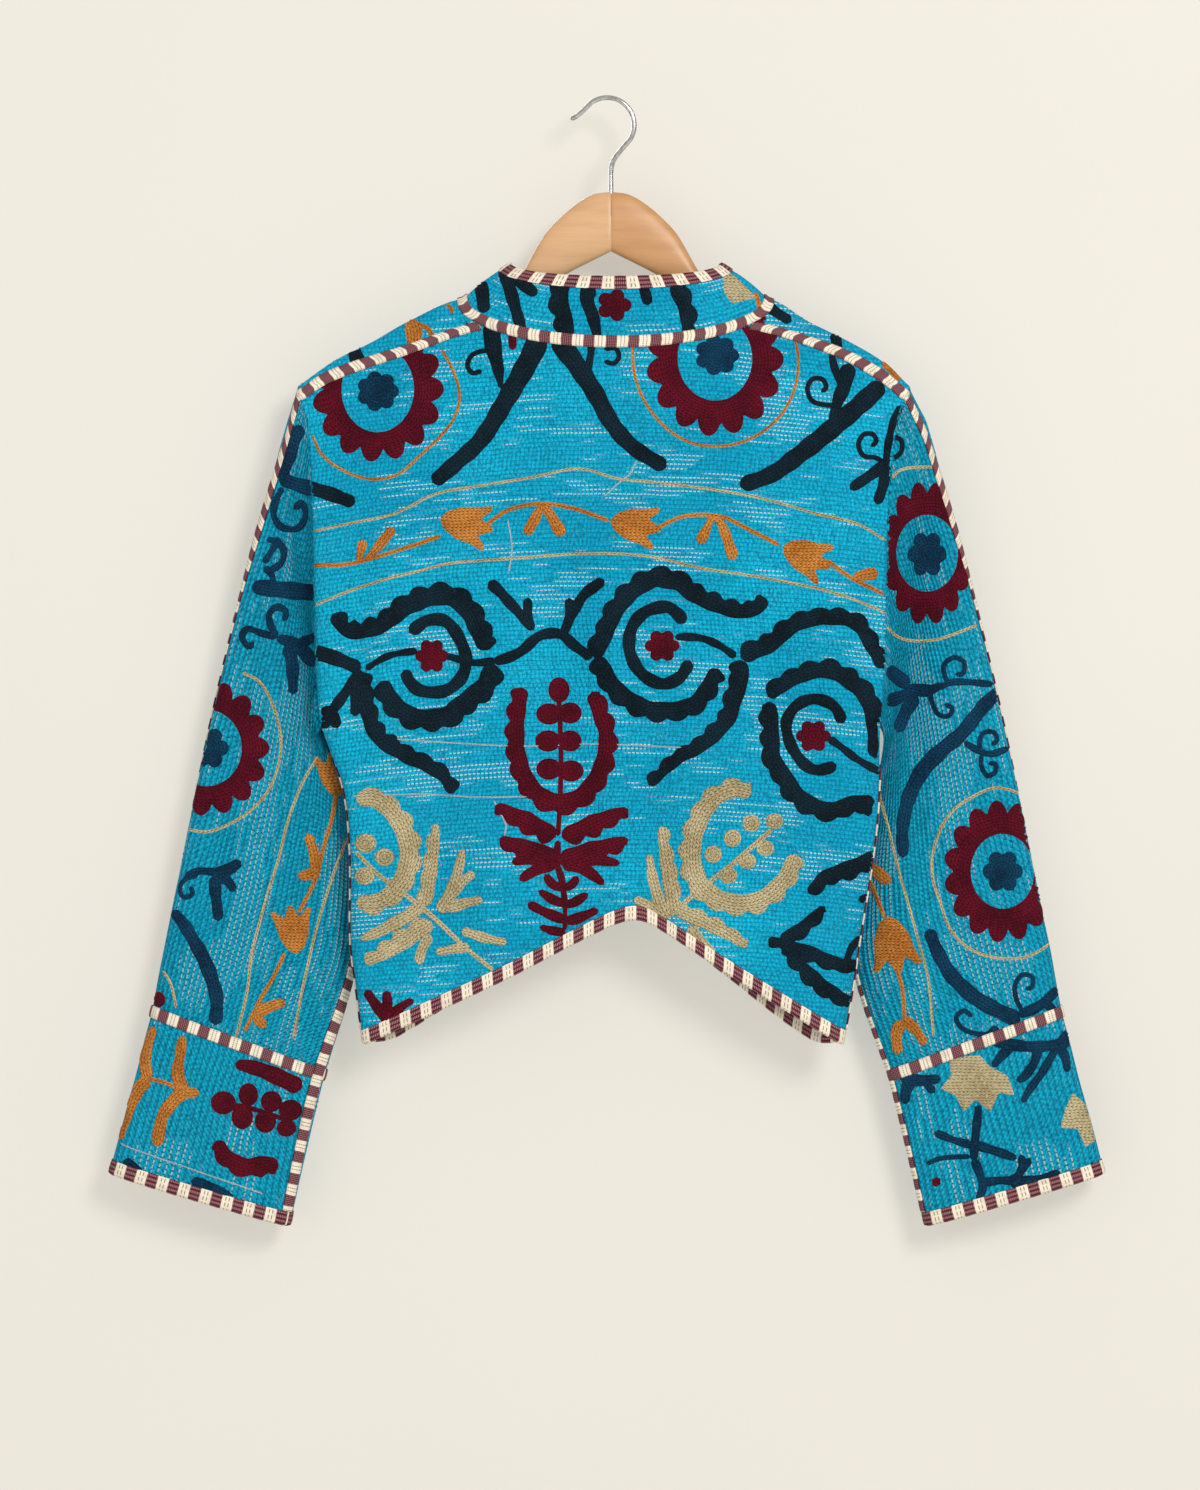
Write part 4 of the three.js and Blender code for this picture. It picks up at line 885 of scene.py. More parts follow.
def edge_rows(outside, inside):
    """Rows of a strip folded over an edge: down the outside, round it, and up the inside."""
    rows = [inset(outside, distance) for distance in DOWN_FROM_EDGE]
    tip = (outside[0] + inside[0]) / 2
    off = outside[0, :, :3] - inset(outside, 3)[:, :3]
    off /= np.linalg.norm(off, axis=1)[:, None]
    tip[:, :3] += off * TIP_OUT
    tip[:, 3:] = off
    near = outside[0].copy()
    near[:, 3:] = near[:, 3:] * FOLD_TURN[0] + off * FOLD_TURN[1]
    far = inside[0].copy()
    far[:, 3:] = far[:, 3:] * FOLD_TURN[0] + off * FOLD_TURN[1]
    rows += [near, tip, far]
    rows += [inset(inside, distance) for distance in DOWN_FROM_EDGE[::-1]]
    return np.array(rows)


def from_row(source, name, row, reverse=False):
    """A panel's lines, starting on its first row, last row, first column or last column."""
    grid = source[name]
    lines = {
        "top": grid,
        "bottom": grid[::-1],
        "start": grid.transpose(1, 0, 2),
        "end": grid.transpose(1, 0, 2)[::-1],
    }[row]
    return lines[:, ::-1] if reverse else lines


def part(lines, start, end):
    return lines[:, start:end]


def join_lines(*pieces):
    """Lines of several panels side by side."""
    return np.concatenate([deepened(lines) for lines in pieces], axis=1)


def deepened(lines):
    """The start of each line in even steps, so that lines of several panels can be joined."""
    steps = np.linspace(0, JOIN_REACH, JOIN_REACH + 1)
    return np.array([inset(lines, distance) for distance in steps])


def bottom_rows(name):
    """Rows of the strip that folds over a panel's last row."""
    return edge_rows(from_row(surface, name, "bottom"), from_row(lining, name, "bottom"))


# Lengths left free at the ends of strips: between two strips, at a seam, and under the arm
STRIP_GAP = 0.4
END_GAP = 0.2
NECK_CORNER_GAP = 3
UNDERARM_CLEAR = 38


def make_strips(material):
    """Every striped strip, by its name."""
    made = {}
    clear = BINDING_EDGE + STRIP_GAP
    half = BINDING_HALF + STRIP_GAP
    corner = SIDE_COLUMNS

    def keep(name, rows, closed_under):
        made[name] = strip_mesh(name, rows, closed_under, material)

    # Neck seam
    in_left = part(from_row(surface, "front_left", "end"), FINE, NECK_ROW + 1)[:, ::-1]
    in_back = part(from_row(surface, "back", "top"), corner, last_column - corner + 1)
    in_right = part(from_row(surface, "front_right", "end"), FINE, NECK_ROW + 1)
    panels = join_lines(in_left, in_back, in_right)
    collar_side = deepened(from_row(surface, "collar", "top"))
    keep("neck_seam", cut_ends(flat_rows(panels, collar_side), clear, clear), True)
    collar_out = from_row(surface, "collar", "bottom")
    collar_in = from_row(lining, "collar", "bottom")
    keep("collar_top", cut_ends(edge_rows(collar_out, collar_in), clear, clear), False)
    hem = bottom_rows("back")
    keep("hem_back", cut_ends(hem, END_GAP, END_GAP), False)
    for side in SIDES:
        left = side == "left"
        back_top = from_row(surface, "back", "top")
        shoulder_back = back_top[:, : corner + 1] if left else back_top[:, ::-1][:, : corner + 1]
        shoulder_front = from_row(surface, "front_" + side, "top")
        arm_back = from_row(surface, "sleeve_back_" + side, "start")
        arm_front = from_row(surface, "sleeve_front_" + side, "start")
        one = join_lines(shoulder_back[:, ::-1], arm_back[:, 2:])
        other = join_lines(shoulder_front[:, ::-1], arm_front[:, 2:])
        rows = cut_ends(flat_rows(one, other), BINDING_HALF + NECK_CORNER_GAP, half)
        keep("shoulder_" + side, rows, True)
        side_back = from_row(surface, "back", "start" if left else "end")[:, SEAM_ROW["back"] :]
        side_front = from_row(surface, "front_" + side, "start")[:, SEAM_ROW["front"] :]
        keep("side_" + side, cut_ends(flat_rows(side_back, side_front), UNDERARM_CLEAR, clear), True)
        under_back = join_lines(
            from_row(surface, "sleeve_back_" + side, "end"),
            from_row(surface, "cuff_" + side, "start")[:, 1:],
        )
        under_front = join_lines(
            from_row(surface, "sleeve_front_" + side, "end"),
            from_row(surface, "cuff_" + side, "end")[:, 1:],
        )
        rows = cut_ends(flat_rows(under_back, under_front), UNDERARM_CLEAR, clear)
        keep("underarm_" + side, rows, True)
        above = join_lines(
            from_row(surface, "sleeve_back_" + side, "bottom", True),
            from_row(surface, "sleeve_front_" + side, "bottom")[:, 1:],
        )
        below = deepened(from_row(surface, "cuff_" + side, "top"))
        keep("cuff_seam_" + side, cut_ends(flat_rows(above, below), half, half), True)
        end = bottom_rows("cuff_" + side)
        keep("cuff_end_" + side, cut_ends(end, END_GAP, END_GAP), False)
        collar_edge = "start" if left else "end"
        edges = []
        for source in (surface, lining):
            collar_lines = from_row(source, "collar", collar_edge, True)
            front_lines = from_row(source, "front_" + side, "end")[:, NECK_ROW + 1 :]
            edges.append(join_lines(collar_lines, front_lines))
        keep("front_edge_" + side, edge_rows(*edges), False)
        hem = bottom_rows("front_" + side)
        keep("hem_front_" + side, cut_ends(hem, END_GAP, clear), False)
    return made


# Hanger
WOOD_HALF = 5.5
WOOD_JOINT_X = 3.2
WOOD_JOINT_GAP = 0.15
WOOD_CLEAR = 3.5
WOOD_SIDES = 32
HANGER_ARM = table(
    "out top bottom",
    (0, -74, -122),
    (14, -76, -129),
    (28, -84, -136),
    (41, -95, -143),
    (53, -108, -149),
    (62, -123, -154),
    (70, -137, -159),
    (84, -152, -169),
    (102, -162, -182),
)
ARM_SHOULDER = table("share height", (0.25, 24), (0.5, 27), (0.72, 27), (0.9, 24), (0.97, 17), (1, 8))
ARM_NECK_OUT = 115
ARM_REACH = 220
TIP_DROP = 5
TIP_HALF = 3.2


def make_hanger_half(side, sign, material):
    middle = WOOD_JOINT_X + sign * WOOD_JOINT_GAP
    out = lerp(ARM_NECK_OUT, ARM_REACH, ARM_SHOULDER["share"])
    full = np.clip((ARM_SHOULDER["height"] - 8) / 16, 0, 1)
    tops = read(CREST, "x", middle + sign * out, "z") - WOOD_CLEAR - (1 - full) * TIP_DROP
    stations = {
        "out": np.concatenate([HANGER_ARM["out"], out]),
        "top": np.concatenate([HANGER_ARM["top"], tops]),
        "bottom": np.concatenate([HANGER_ARM["bottom"], tops - ARM_SHOULDER["height"]]),
        "half": np.concatenate([np.full(len(HANGER_ARM["out"]), WOOD_HALF), lerp(TIP_HALF, WOOD_HALF, full)]),
    }
    outs = np.concatenate([np.linspace(0, ARM_REACH - 4, 74), np.linspace(ARM_REACH - 3, ARM_REACH, 6)])
    angle = np.linspace(0, 2 * math.pi, WOOD_SIDES, endpoint=False)
    exponent = np.where(np.cos(angle) > 0, 2 / 2, 2 / 3.2)
    across = signed_power(np.sin(angle), exponent)
    upright = signed_power(np.cos(angle), exponent)
    points = []
    for distance in outs:
        top = float(read(stations, "out", distance, "top"))
        bottom = float(read(stations, "out", distance, "bottom"))
        half = float(read(stations, "out", distance, "half"))
        x = np.full(WOOD_SIDES, middle + sign * distance)
        z = (top + bottom) / 2 + (top - bottom) / 2 * upright
        points.append(np.stack([x, half * across, z], axis=-1))
    mesh = make_mesh("wood_" + side, np.concatenate(points), tube_faces(len(outs), WOOD_SIDES))
    made = new_object("wood_" + side, mesh, material)
    fix_normals(made)
    bevel = made.modifiers.new("edge", "BEVEL")
    bevel.width = 0.6 * MM
    bevel.segments = 2
    bevel.limit_method = "ANGLE"
    bevel.angle_limit = math.radians(50)
    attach(made, "root")
    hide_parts("hanger_" + side)
    return made


# Hook
WIRE_RADIUS = 2
WIRE_SIDES = 20
WIRE_STEP = 1.2
HOOK_BEND = 22
HOOK_TIP = [(-29.5, -15.5), (-24.5, -13)]
HOOK_ANGLES = [145, 120, 90, 60, 30, 0, -28]
HOOK_NECK = [(11.5, -40), (5, -49), (WOOD_JOINT_X, -58), (WOOD_JOINT_X, -68), (WOOD_JOINT_X, -93)]


def smooth_line(places, step):
    """A curve through places, as points about one step apart."""
    places = np.asarray(places, float)
    padded = np.vstack([2 * places[0] - places[1], places, 2 * places[-1] - places[-2]])
    points = []
    for k in range(1, len(padded) - 2):
        before, start, end, after = padded[k - 1 : k + 3]
        count = max(2, int(np.linalg.norm(end - start) / step) + 1)
        t = np.linspace(0, 1, count, endpoint=False)[:, None]
        curve = 2 * start + (end - before) * t + (2 * before - 5 * start + 4 * end - after) * t**2
        points.append(0.5 * (curve + (3 * start - before - 3 * end + after) * t**3))
    return np.vstack([*points, places[-1:]])


def make_hook(material):
    bend_z = WIRE_RADIUS - HOOK_BEND
    bend = [
        (HOOK_BEND * math.cos(math.radians(a)), bend_z + HOOK_BEND * math.sin(math.radians(a)))
        for a in HOOK_ANGLES
    ]
    line = smooth_line([*HOOK_TIP, *bend, *HOOK_NECK], WIRE_STEP)
    points = []
    tangents = np.gradient(line, axis=0)
    tangents /= np.linalg.norm(tangents, axis=1)[:, None]
    turn = np.linspace(0, 2 * math.pi, WIRE_SIDES, endpoint=False)
    # The tip is rounded off over its last radius
    travelled = travelled_along(line)
    for (x, z), (tx, tz), distance in zip(line, tangents, travelled):
        radius = WIRE_RADIUS * math.sqrt(max(0.02, 1 - max(0, 1 - distance / WIRE_RADIUS) ** 2))
        ring = (x - tz * radius * np.cos(turn), radius * np.sin(turn), z + tx * radius * np.cos(turn))
        points.append(np.stack(ring, axis=-1))
    mesh = make_mesh("wire_hook", np.concatenate(points), tube_faces(len(points), WIRE_SIDES))
    made = new_object("wire_hook", mesh, material)
    fix_normals(made)
    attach(made, "root")
    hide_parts("hook")
    return made


def linear(red, green, blue):
    """A colour given as 0-255 sRGB, in Blender's linear values."""
    return tuple(
        (c / 255 / 12.92) if c / 255 <= 0.04045 else ((c / 255 + 0.055) / 1.055) ** 2.4
        for c in (red, green, blue)
    ) + (1.0,)


class Shader:
    """Small helpers to lay out a material's nodes."""

    def __init__(self, name, roughness, shine=0.5):
        self.material = bpy.data.materials.new(name)
        self.material.use_nodes = True
        self.tree = self.material.node_tree
        self.surface = self.tree.nodes["Principled BSDF"]
        self.surface.inputs["Roughness"].default_value = roughness
        self.surface.inputs["Specular IOR Level"].default_value = shine

    def node(self, kind, **settings):
        made = self.tree.nodes.new(kind)
        for key, value in settings.items():
            setattr(made, key, value)
        return made

    def link(self, source, target):
        self.tree.links.new(source, target)

    def feed(self, socket, value):
        if isinstance(value, bpy.types.NodeSocket):
            self.link(value, socket)
        else:
            socket.default_value = value

    def math(self, operation, *values):
        made = self.node("ShaderNodeMath", operation=operation)
        for k, value in enumerate(values):
            self.feed(made.inputs[k], value)
        return made.outputs[0]

    def plus(self, first, second):
        return self.math("ADD", first, second)

    def minus(self, first, second):
        return self.math("SUBTRACT", first, second)

    def times(self, first, second):
        return self.math("MULTIPLY", first, second)

    def over(self, first, second):
        return self.math("DIVIDE", first, second)

    def absolute(self, value):
        return self.math("ABSOLUTE", value)

    def fraction(self, value):
        return self.math("FRACT", value)

    def from_half(self, value):
        """Distance of a value's fraction from one half: 0.5 at whole numbers, 0 between them."""
        return self.absolute(self.minus(self.fraction(value), 0.5))

    def drift(self, scale, detail, size):
        """Soft noise about zero."""
        return self.times(self.minus(self.noise(scale, detail), 0.5), size)

    def ramp(self, value, low, high, start=0.0, end=1.0):
        made = self.node("ShaderNodeMapRange", interpolation_type="SMOOTHSTEP")
        names = ("Value", "From Min", "From Max", "To Min", "To Max")
        for key, item in zip(names, (value, low, high, start, end)):
            self.feed(made.inputs[key], item)
        return made.outputs[0]

    def mix(self, factor, first, second):
        made = self.node("ShaderNodeMix", data_type="RGBA")
        self.feed(made.inputs[0], factor)
        self.feed(made.inputs[6], first)
        self.feed(made.inputs[7], second)
        return made.outputs[2]

    def noise(self, scale, detail=2.0, vector=None, dimensions="3D"):
        made = self.node("ShaderNodeTexNoise", noise_dimensions=dimensions)
        made.inputs["Scale"].default_value = scale
        made.inputs["Detail"].default_value = detail
        self.link(vector or self.place(), made.inputs["Vector"])
        return made.outputs["Fac"]

    def random(self, value):
        made = self.node("ShaderNodeTexWhiteNoise", noise_dimensions="1D")
        self.link(value, made.inputs["W"])
        return made.outputs["Value"]

    def place(self):
        """Object coordinates, in metres."""
        return self.node("ShaderNodeTexCoord").outputs["Object"]

    def uv(self):
        split = self.node("ShaderNodeSeparateXYZ")
        self.link(self.node("ShaderNodeUVMap", uv_map="UVMap").outputs["UV"], split.inputs[0])
        return split.outputs[0], split.outputs[1]

    def join(self, x, y, z=0.0):
        made = self.node("ShaderNodeCombineXYZ")
        for k, value in enumerate((x, y, z)):
            self.feed(made.inputs[k], value)
        return made.outputs[0]

    def bump(self, height, distance):
        made = self.node("ShaderNodeBump")
        made.inputs["Strength"].default_value = 1.0
        made.inputs["Distance"].default_value = distance
        self.link(height, made.inputs["Height"])
        return made.outputs["Normal"]

    def paint(self, colour, normal=None):
        self.feed(self.surface.inputs["Base Color"], colour)
        if normal is not None:
            self.link(normal, self.surface.inputs["Normal"])
        return self.material


def quilted_cloth(name, pitch, groove, rib, slant, lift, white_from, line):
    """Cloth with rows of running stitch; UV is millimetres along a row and the row's number."""
    s = Shader(name, 0.85, 0.1)
    along, row = s.uv()
    drift = s.drift(14, 2, 0.9)
    fine_drift = s.drift(90, 1, 0.25)
    row = s.plus(s.plus(row, drift), fine_drift)
    number = s.math("ROUND", row)
    beside = s.minus(row, number)
    off = s.absolute(beside)
    chance = s.random(number)
    stitch = s.fraction(s.plus(s.over(along, pitch), s.times(chance, 7.3)))
    stitch_on = s.times(s.ramp(stitch, 0.02, 0.1), s.ramp(stitch, 0.78, 0.68))
    thread = s.times(stitch_on, s.ramp(off, line * 1.6, line * 0.7))
    puff = s.math("POWER", s.math("MINIMUM", s.times(off, 2.0), 1.0), 0.7)
    # Between two rows the cloth puffs into small cells, one for each stitch
    cell = s.plus(s.over(along, pitch), s.times(beside, slant))
    cell = s.plus(cell, s.times(s.random(s.math("FLOOR", row)), 3.1))
    cell = s.from_half(cell)
    gather = s.times(s.ramp(cell, 0.5, 0.2), 0.7)
    height = s.plus(s.times(puff, rib), s.plus(gather, s.times(thread, 0.3)))
    weave = s.noise(1900, 2)
    height = s.plus(height, s.times(weave, 0.45))
    lumps = s.noise(420, 2)
    height = s.plus(height, s.times(lumps, 0.6))
    deep = linear(0, 72, 102)
    mid = linear(0, 154, 192)
    light = linear(14, 184, 220)
    fade = s.noise(7, 3)
    colour = s.mix(s.ramp(fade, 0.3, 0.7, lift, 1.0), mid, light)
    colour = s.mix(s.ramp(lumps, 0.42, 0.66, 0.0, 0.6), colour, deep)
    # Painted shade: darker along each stitched groove and in the pinches between the puffed cells
    colour = s.mix(s.times(s.ramp(off, 0.4, 0.0), 0.22 * rib), colour, deep)
    colour = s.mix(s.times(s.ramp(cell, 0.3, 0.5), 0.42), colour, deep)
    colour = s.mix(s.ramp(weave, 0.35, 0.7, 0.0, 0.4), colour, light)
    # Light specks all over, where the white ground shows between the threads
    fine_specks = s.ramp(s.noise(900, 1), 0.56, 0.7)
    speck_share = s.ramp(s.noise(26, 2), 0.35, 0.65, 0.08, 0.36)
    colour = s.mix(s.times(fine_specks, speck_share), colour, linear(84, 202, 228))
    # White thread shows in patches of neighbouring rows, each with its own ends
    streak = s.join(s.times(along, 0.006), s.times(number, 0.05))
    patch = s.noise(1.9, 2, streak, "2D")
    ends = s.noise(1.0, 1, s.join(s.times(along, 0.026), s.times(number, 5.3)), "2D")
    share = s.plus(s.times(patch, 0.65), s.times(ends, 0.35))
    white = s.times(s.ramp(share, white_from, white_from + 0.05), thread)
    bright = s.plus(0.45, s.times(s.noise(70, 2), 0.8))
    white = s.math("MINIMUM", s.times(white, bright), 0.9)
    own = s.mix(s.times(thread, 0.5), colour, linear(10, 118, 156))
    colour = s.mix(white, own, linear(214, 232, 232))
    return s.paint(colour, s.bump(height, groove * MM))


def thread_cloth(name, dark, light, row_mm=2.5, loop_mm=3.4):
    """Chain stitch worked in rows; UV is millimetres along and across the rows."""
    s = Shader(name, 0.8, 0.12)
    along, across = s.uv()
    drift = s.drift(60, 2, 1.6)
    row = s.plus(s.over(across, row_mm), drift)
    number = s.math("FLOOR", row)
    inside = s.fraction(row)
    off = s.absolute(s.minus(inside, 0.5))
    slant = s.times(off, 1.1)
    loop = s.over(along, loop_mm)
    loop = s.plus(s.plus(loop, slant), s.times(s.random(number), 3.7))
    part_of = s.from_half(loop)
    ridge = s.minus(1.0, s.math("POWER", s.times(off, 2.0), 2.5))
    link = s.minus(1.0, s.math("POWER", s.times(part_of, 2.0), 3.0))
    height = s.plus(s.times(ridge, 0.45), s.times(link, 0.55))
    fibre = s.noise(2600, 2)
    knots = s.noise(380, 2)
    height = s.plus(height, s.times(fibre, 0.3))
    height = s.plus(height, s.times(knots, 0.9))
    patch = s.noise(40, 2)
    colour = s.mix(s.ramp(patch, 0.3, 0.7, 0.0, 0.6), dark, light)
    # Painted shade: darker where the loops lie low, and darker still in the gaps between rows and loops
    colour = s.mix(s.ramp(height, 0.5, 1.4), s.mix(0.5, colour, (0.0, 0.0, 0.0, 1.0)), colour)
    shaded_gaps = s.times(s.ramp(off, 0.22, 0.44), s.ramp(part_of, 0.14, 0.36))
    colour = s.mix(shaded_gaps, colour, s.mix(0.75, colour, (0.0, 0.0, 0.0, 1.0)))
    colour = s.mix(s.ramp(knots, 0.5, 0.72, 0.0, 0.55), colour, light)
    colour = s.mix(s.ramp(fibre, 0.4, 0.75, 0.0, 0.4), colour, light)
    return s.paint(colour, s.bump(height, 1.3 * MM))


STRIPE_REPEAT = 18.0


def striped_cloth():
    """Woven strip with maroon and cream blocks; UV is millimetres along, and -1 to 1 across."""
    s = Shader("striped_binding", 0.85, 0.15)
    along, across = s.uv()
    across_mm = s.times(across, BINDING_HALF)
    wave = s.drift(120, 1, 0.7)
    place = s.fraction(s.over(s.plus(along, wave), STRIPE_REPEAT))
    cream_on = s.ramp(place, 0.49, 0.51)
    # Maroon blocks: small pale dots in rows across the strip
    dot_u = s.from_half(s.over(along, 1.5))
    dot_v = s.from_half(s.over(across_mm, 1.2))
    dots = s.times(s.ramp(dot_u, 0.3, 0.16), s.ramp(dot_v, 0.36, 0.2))
    maroon = s.mix(s.times(dots, 0.6), linear(84, 18, 38), linear(204, 164, 160))
    # Cream blocks: two dark broken lines across the strip
    centre = s.minus(place, 0.755)
    lines = s.absolute(s.minus(s.absolute(centre), 0.075))
    dash = s.ramp(s.fraction(s.over(across_mm, 1.6)), 0.25, 0.4)
    lines = s.times(s.ramp(lines, 0.028, 0.012), dash)
    cream = s.mix(s.times(lines, 0.8), linear(236, 224, 202), linear(70, 48, 46))
    colour = s.mix(cream_on, maroon, cream)
    dirt = s.noise(150, 2)
    colour = s.mix(s.ramp(dirt, 0.4, 0.8, 0.0, 0.25), colour, linear(120, 90, 84))
    rib = s.from_half(s.over(along, 0.9))
    weave = s.noise(1900, 2)
    height = s.plus(s.times(rib, 0.8), s.times(weave, 0.7))
    seam = s.ramp(s.absolute(across), 0.8, 0.9)
    height = s.minus(height, s.times(seam, 0.5))
    return s.paint(colour, s.bump(height, 0.3 * MM))


def wood(name, light, dark, turn):
    """Lacquered wood whose grain is turned by an angle."""
    s = Shader(name, 0.42)
    s.surface.inputs["Coat Weight"].default_value = 0.15
    s.surface.inputs["Coat Roughness"].default_value = 0.3

    def grain_noise(scale, stretch):
        mapping = s.node("ShaderNodeMapping")
        mapping.inputs["Rotation"].default_value = (0.0, turn, 0.0)
        mapping.inputs["Scale"].default_value = stretch
        s.link(s.place(), mapping.inputs["Vector"])
        return s.noise(scale, 3, mapping.outputs[0])

    grain = grain_noise(14, (1.0, 6.0, 9.0))
    fine = grain_noise(60, (1.0, 14.0, 26.0))
    colour = s.mix(s.ramp(grain, 0.3, 0.75, 0.0, 0.6), light, dark)
    colour = s.mix(s.ramp(fine, 0.5, 0.75, 0.0, 0.3), colour, dark)
    height = s.plus(s.times(grain, 0.4), fine)
    return s.paint(colour, s.bump(height, 0.08 * MM))


def wire():
    """Polished wire."""
    s = Shader("bright_wire", 0.16)
    s.surface.inputs["Metallic"].default_value = 1.0
    scuffs = s.noise(400, 3)
    colour = s.mix(s.ramp(scuffs, 0.4, 0.7), linear(205, 203, 200), linear(168, 166, 162))
    return s.paint(colour, s.bump(scuffs, 0.02 * MM))


body_cloth = quilted_cloth(
    "quilted_body", pitch=3.3, groove=0.75, rib=0.9, slant=0.0, lift=0.0, white_from=0.54, line=0.1,
)
sleeve_cloth = quilted_cloth(
    "quilted_sleeve", pitch=4.2, groove=1.7, rib=1.5, slant=0.8, lift=0.8, white_from=0.5, line=0.085,
)
strips_cloth = striped_cloth()
THREADS = {
    "navy": thread_cloth("thread_navy", linear(3, 18, 26), linear(18, 46, 60)),
    "blue": thread_cloth("thread_blue", linear(2, 36, 60), linear(14, 72, 104)),
    "maroon": thread_cloth("thread_maroon", linear(68, 3, 20), linear(112, 12, 36)),
    "ochre": thread_cloth("thread_ochre", linear(168, 96, 32), linear(224, 150, 70)),
    "tan": thread_cloth("thread_tan", linear(162, 146, 104), linear(220, 204, 162)),
}
for name in grids:
    make_panel(name, sleeve_cloth if is_arm(name) else body_cloth)
strips = make_strips(strips_cloth)
wooden = [
    make_hanger_half("left", -1, wood("wood_light", linear(206, 162, 116), linear(188, 140, 94), 0.62)),
    make_hanger_half("right", 1, wood("wood_dark", linear(194, 142, 90), linear(170, 120, 72), -0.45)),
]
hook = make_hook(wire())


# Embroidery
# Threads are laid on the finished cloth. Their places are read off the photograph, in its
# pixels, and one pixel is 0.8 mm.
PIXEL = 0.8
MIDDLE_PX = 607
ORIGIN_PX = 96
THREAD_RISE = 0.95
THREAD_SINK = 0.35
STROKE_STEP = 2.0
FAR_AWAY = 400
EDGE_ON = 0.16
THIN_STROKE = 6
THIN_RISE = 0.62
LOBE_PITCH = 15.5
LOBE_SWELL = 3.8
ACROSS_STROKE = np.array([-1, -0.94, -0.8, -0.5, -0.17, 0.17, 0.5, 0.8, 0.94, 1])
FROM_MIDDLE = np.array([0, 0.35, 0.65, 0.86, 0.96, 1])


def dome_at(share):
    """Height of the thread above the cloth, from the middle of a shape at 0 to its rim at 1."""
    return THREAD_RISE * (1 - share**7) - THREAD_SINK * (share > 0.99)


DOME = dome_at(np.abs(ACROSS_STROKE))


def picture_points(text):
    """Points written as x,y pairs, in millimetres across and up."""
    pairs = np.array([[float(v) for v in pair.split(",")] for pair in text.split()])
    return np.stack([(pairs[:, 0] - MIDDLE_PX) * PIXEL, -(pairs[:, 1] - ORIGIN_PX) * PIXEL], axis=-1)


# A tulip's outline: its stem is at -X and its three points are at +X, in a flower 1.1 long
TULIP = [(-0.55, 0.0), (-0.42, 0.2), (-0.12, 0.36), (0.24, 0.42), (0.54, 0.52), (0.56, 0.4), (0.34, 0.19)]
TULIP += [(0.66, 0.05), (0.66, -0.05), (0.34, -0.19), (0.56, -0.4), (0.54, -0.52), (0.24, -0.42)]
TULIP += [(-0.12, -0.36), (-0.42, -0.2)]


